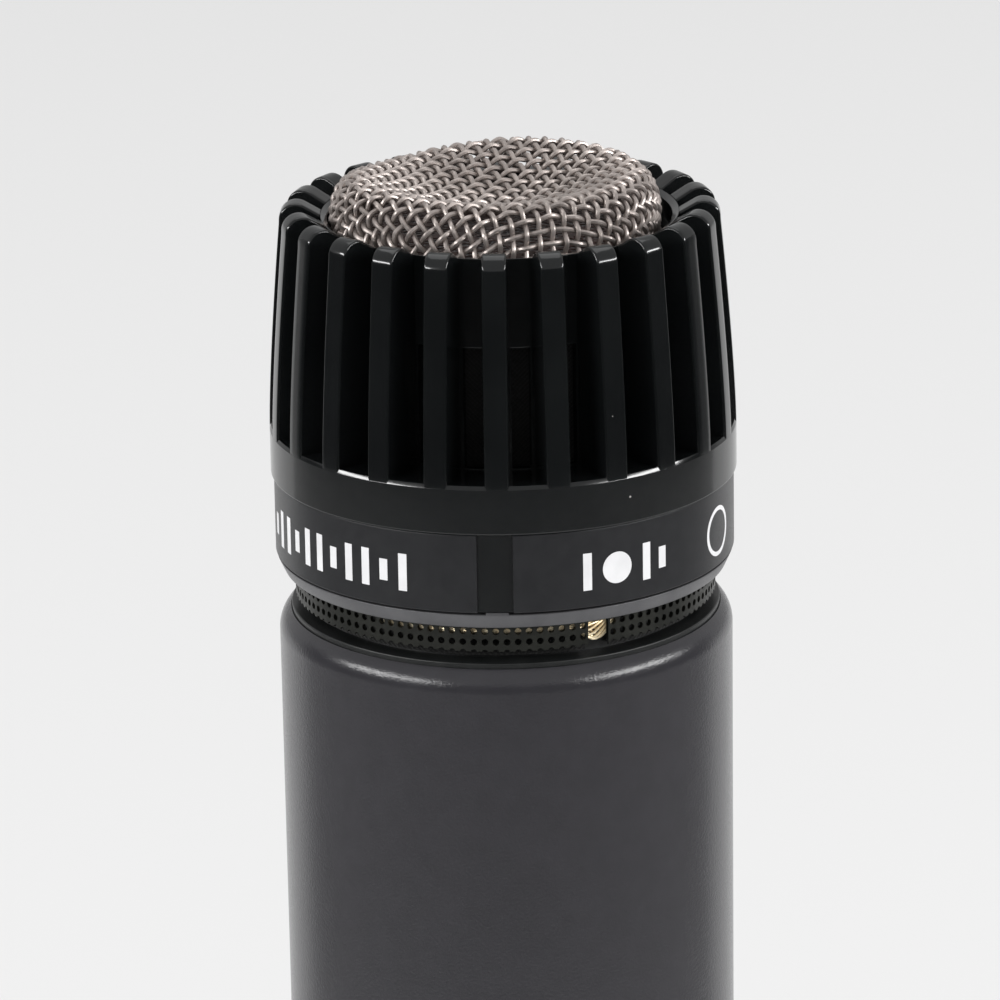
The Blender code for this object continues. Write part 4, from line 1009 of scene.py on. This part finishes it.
def build_grille():
    """Two sets of wires, each over and under the other, cut off inside a hem."""
    net = uneven(fishnet(int(GRILLE_S[-1] / WIRE_PITCH)))
    per_span = 6
    cut_arc = float(np.interp(-(FOOT_Z + 0.25 * MM), -GRILLE_Z[DISH_STEPS:], GRILLE_S[DISH_STEPS:]))
    spin = np.array(Matrix.Rotation(radians(WEAVE_ANGLE), 3, "Z"))
    for name, lines, parity in (("grille_warp", net, 0), ("grille_weft", net.transpose(1, 0, 2), 1)):
        verts, faces = [], []
        for wire in range(lines.shape[1]):
            flat = smooth_line(lines[:, wire], per_span)
            inside = np.linalg.norm(flat, axis=1) < cut_arc
            if inside.sum() < 2 * per_span:
                continue
            keep = np.flatnonzero(inside)
            span = slice(keep[0], keep[-1] + 1)
            normal = grille_normal(flat[span])
            phase = np.arange(len(flat))[span] / per_span + wire + parity
            path = on_grille(flat[span], True) + normal * (WIRE_RADIUS * np.cos(pi * phase))[:, None]
            add_shape(verts, faces, *tube_data(path @ spin.T, WIRE_RADIUS * 0.97, normal @ spin.T))
        wires = new_object(name, verts, faces, even=False)
        stands_for = ["wire_mesh_cap"] if parity == 0 else []
        place(wires, "head", stands_for, WIRE)
    outer, inner, low, high, edge = 11.05 * MM, 10.45 * MM, FOOT_Z, FOOT_Z + 0.7 * MM, 0.1 * MM
    hem = rounded([(outer, high, edge), (outer, low, edge), (inner, low, edge), (inner, high, edge)], steps=3)
    place(turned("grille_hem", hem), "head", [], WIRE)


def build_retaining_ring():
    """Ring between the ribs and the grille, whose top follows the ribs' slope."""
    outer, inner = WALL_RADIUS, 11.72 * MM
    low = SLOT_Z + 13.005 * MM
    points = [(outer, slope_height(outer), 0.05 * MM), (outer, low), (inner, low),
              (inner, slope_height(inner), 0.05 * MM)]
    ring = turned("retaining_ring", rounded(points, steps=4), steps=192)
    place(ring, "head", ["mesh_retaining_ring"], GLOSS)


build_handle()
build_connector()
build_soft_inside()
build_collar()
build_vent_screen()
build_coil_lead()
build_shell()
build_strip()
build_marks()
build_lip()
build_grille()
build_retaining_ring()


# ------ floor, light and camera
def build_stage():
    """Plain pale floor."""
    size, pale = 6.0, (0.81, 0.81, 0.81)
    floor = new_object("floor", [(-size, -size, 0.0), (size, -size, 0.0), (size, size, 0.0), (-size, size, 0.0)],
                       [(0, 1, 2, 3)], even=False)
    floor.location.z = cad_low.z - 0.05 * MM
    floor.data.materials.append(moulded("floor_look", pale, pale, 0.9, grain=2 * MM, relief=0.0, specular=0.1))


def area_light(name, azimuth, elevation, distance, size, power, height=None):
    """A soft box that faces the head, placed by its direction from the front."""
    target = Vector((0.0, 0.0, SLOT_Z))
    turn, rise = radians(azimuth), radians(elevation)
    away = Vector((sin(turn) * cos(rise), -cos(turn) * cos(rise), sin(rise)))
    lamp = bpy.data.lights.new(name, "AREA")
    lamp.shape = "RECTANGLE"
    lamp.size = size
    lamp.size_y = height or size
    lamp.energy = power
    made = bpy.data.objects.new(name, lamp)
    made.location = target + away * distance
    made.rotation_mode = "QUATERNION"
    made.rotation_quaternion = (-away).to_track_quat("-Z", "Y")
    bpy.context.scene.collection.objects.link(made)


CARD_REACH = 220.0 * MM
CARD_LEFT, CARD_RIGHT = -105.0, 108.0    # the cards' ends, as directions from the front
CARD_LOW, CARD_SPLIT, CARD_HIGH = 0.5 * MM, 75.0 * MM, 190.0 * MM
DARK_SHADE, LOW_SHADE = 0.011, 0.36      # upper card, in front of the head, and lower card
FADE_STEP = 4.0
FADES = ((0.05, 0.37), (0.11, 0.40), (0.19, 0.43), (0.31, 0.46))      # upper and lower shade of each step


def build_card(name, first, last, low, high, shade):
    """Upright curved card that glossy faces mirror; it isn't seen itself and casts no shadow."""
    steps = max(2, round((last - first) / 5.0))
    verts = []
    for angle in np.linspace(first, last, steps + 1):
        verts += [around(CARD_REACH, angle, low), around(CARD_REACH, angle, high)]
    card = new_object(name, verts, quads(steps + 1, 2, wrapped=False), even=False)
    card.data.materials.append(moulded(name + "_look", (shade,) * 3, (1.1 * shade,) * 3, 0.9))
    card.visible_camera = card.visible_diffuse = card.visible_shadow = False


def build_light():
    """Even surroundings, three soft boxes, and cards whose ends fade out towards the back."""
    world = bpy.data.worlds.new("studio")
    world.use_nodes = True
    world.node_tree.nodes["Background"].inputs["Color"].default_value = (1.0, 1.0, 1.0, 1.0)
    world.node_tree.nodes["Background"].inputs["Strength"].default_value = 0.51
    bpy.context.scene.world = world
    area_light("soft_left", -62.0, 19.0, 1.6, 1.5, 17.0, 0.15)
    area_light("soft_right", 71.0, 19.0, 1.6, 1.5, 18.0, 0.15)
    area_light("soft_top", 180.0, 70.0, 2.5, 2.0, 15.5)
    build_card("dark_card", CARD_LEFT, CARD_RIGHT, CARD_SPLIT, CARD_HIGH, DARK_SHADE)
    build_card("low_card", CARD_LEFT, CARD_RIGHT, CARD_LOW, CARD_SPLIT, LOW_SHADE)
    for step, (upper, lower) in enumerate(FADES):
        near, far = FADE_STEP * step, FADE_STEP * (step + 1)
        for side, first, last in (("left", CARD_LEFT - far, CARD_LEFT - near),
                                  ("right", CARD_RIGHT + near, CARD_RIGHT + far)):
            build_card(f"{side}_card_{step}", first, last, CARD_SPLIT, CARD_HIGH, upper)
            build_card(f"low_{side}_card_{step}", first, last, CARD_LOW, CARD_SPLIT, lower)
    bpy.context.scene.view_settings.view_transform = "Standard"


CAMERA_AZIMUTH = 1.76
CAMERA_REACH = 407.8 * MM                # distance from the axis, level
CAMERA_RISE = 124.3 * MM                 # above the slot ledge
CAMERA_PITCH = 17.72
CAMERA_YAW = -0.042
CAMERA_ROLL = -0.955
CAMERA_LENS, SENSOR_WIDTH = 223.8, 36.0   # mm


def build_camera():
    """Camera placed by its direction, its reach from the axis and its tilt."""
    data = bpy.data.cameras.new("camera")
    data.sensor_width = SENSOR_WIDTH
    data.lens = CAMERA_LENS
    data.clip_start = 0.01
    data.clip_end = 50.0
    camera = bpy.data.objects.new("camera", data)
    turn, yaw, pitch, roll = (radians(a) for a in (CAMERA_AZIMUTH, CAMERA_YAW, CAMERA_PITCH, CAMERA_ROLL))
    matrix = (Matrix.Rotation(turn - yaw, 4, "Z") @ Matrix.Rotation(pi / 2 - pitch, 4, "X")
              @ Matrix.Rotation(roll, 4, "Z"))
    matrix.translation = around(CAMERA_REACH, CAMERA_AZIMUTH, SLOT_Z + CAMERA_RISE)
    camera.matrix_world = matrix
    bpy.context.scene.collection.objects.link(camera)
    bpy.context.scene.camera = camera


build_stage()
build_light()
build_camera()
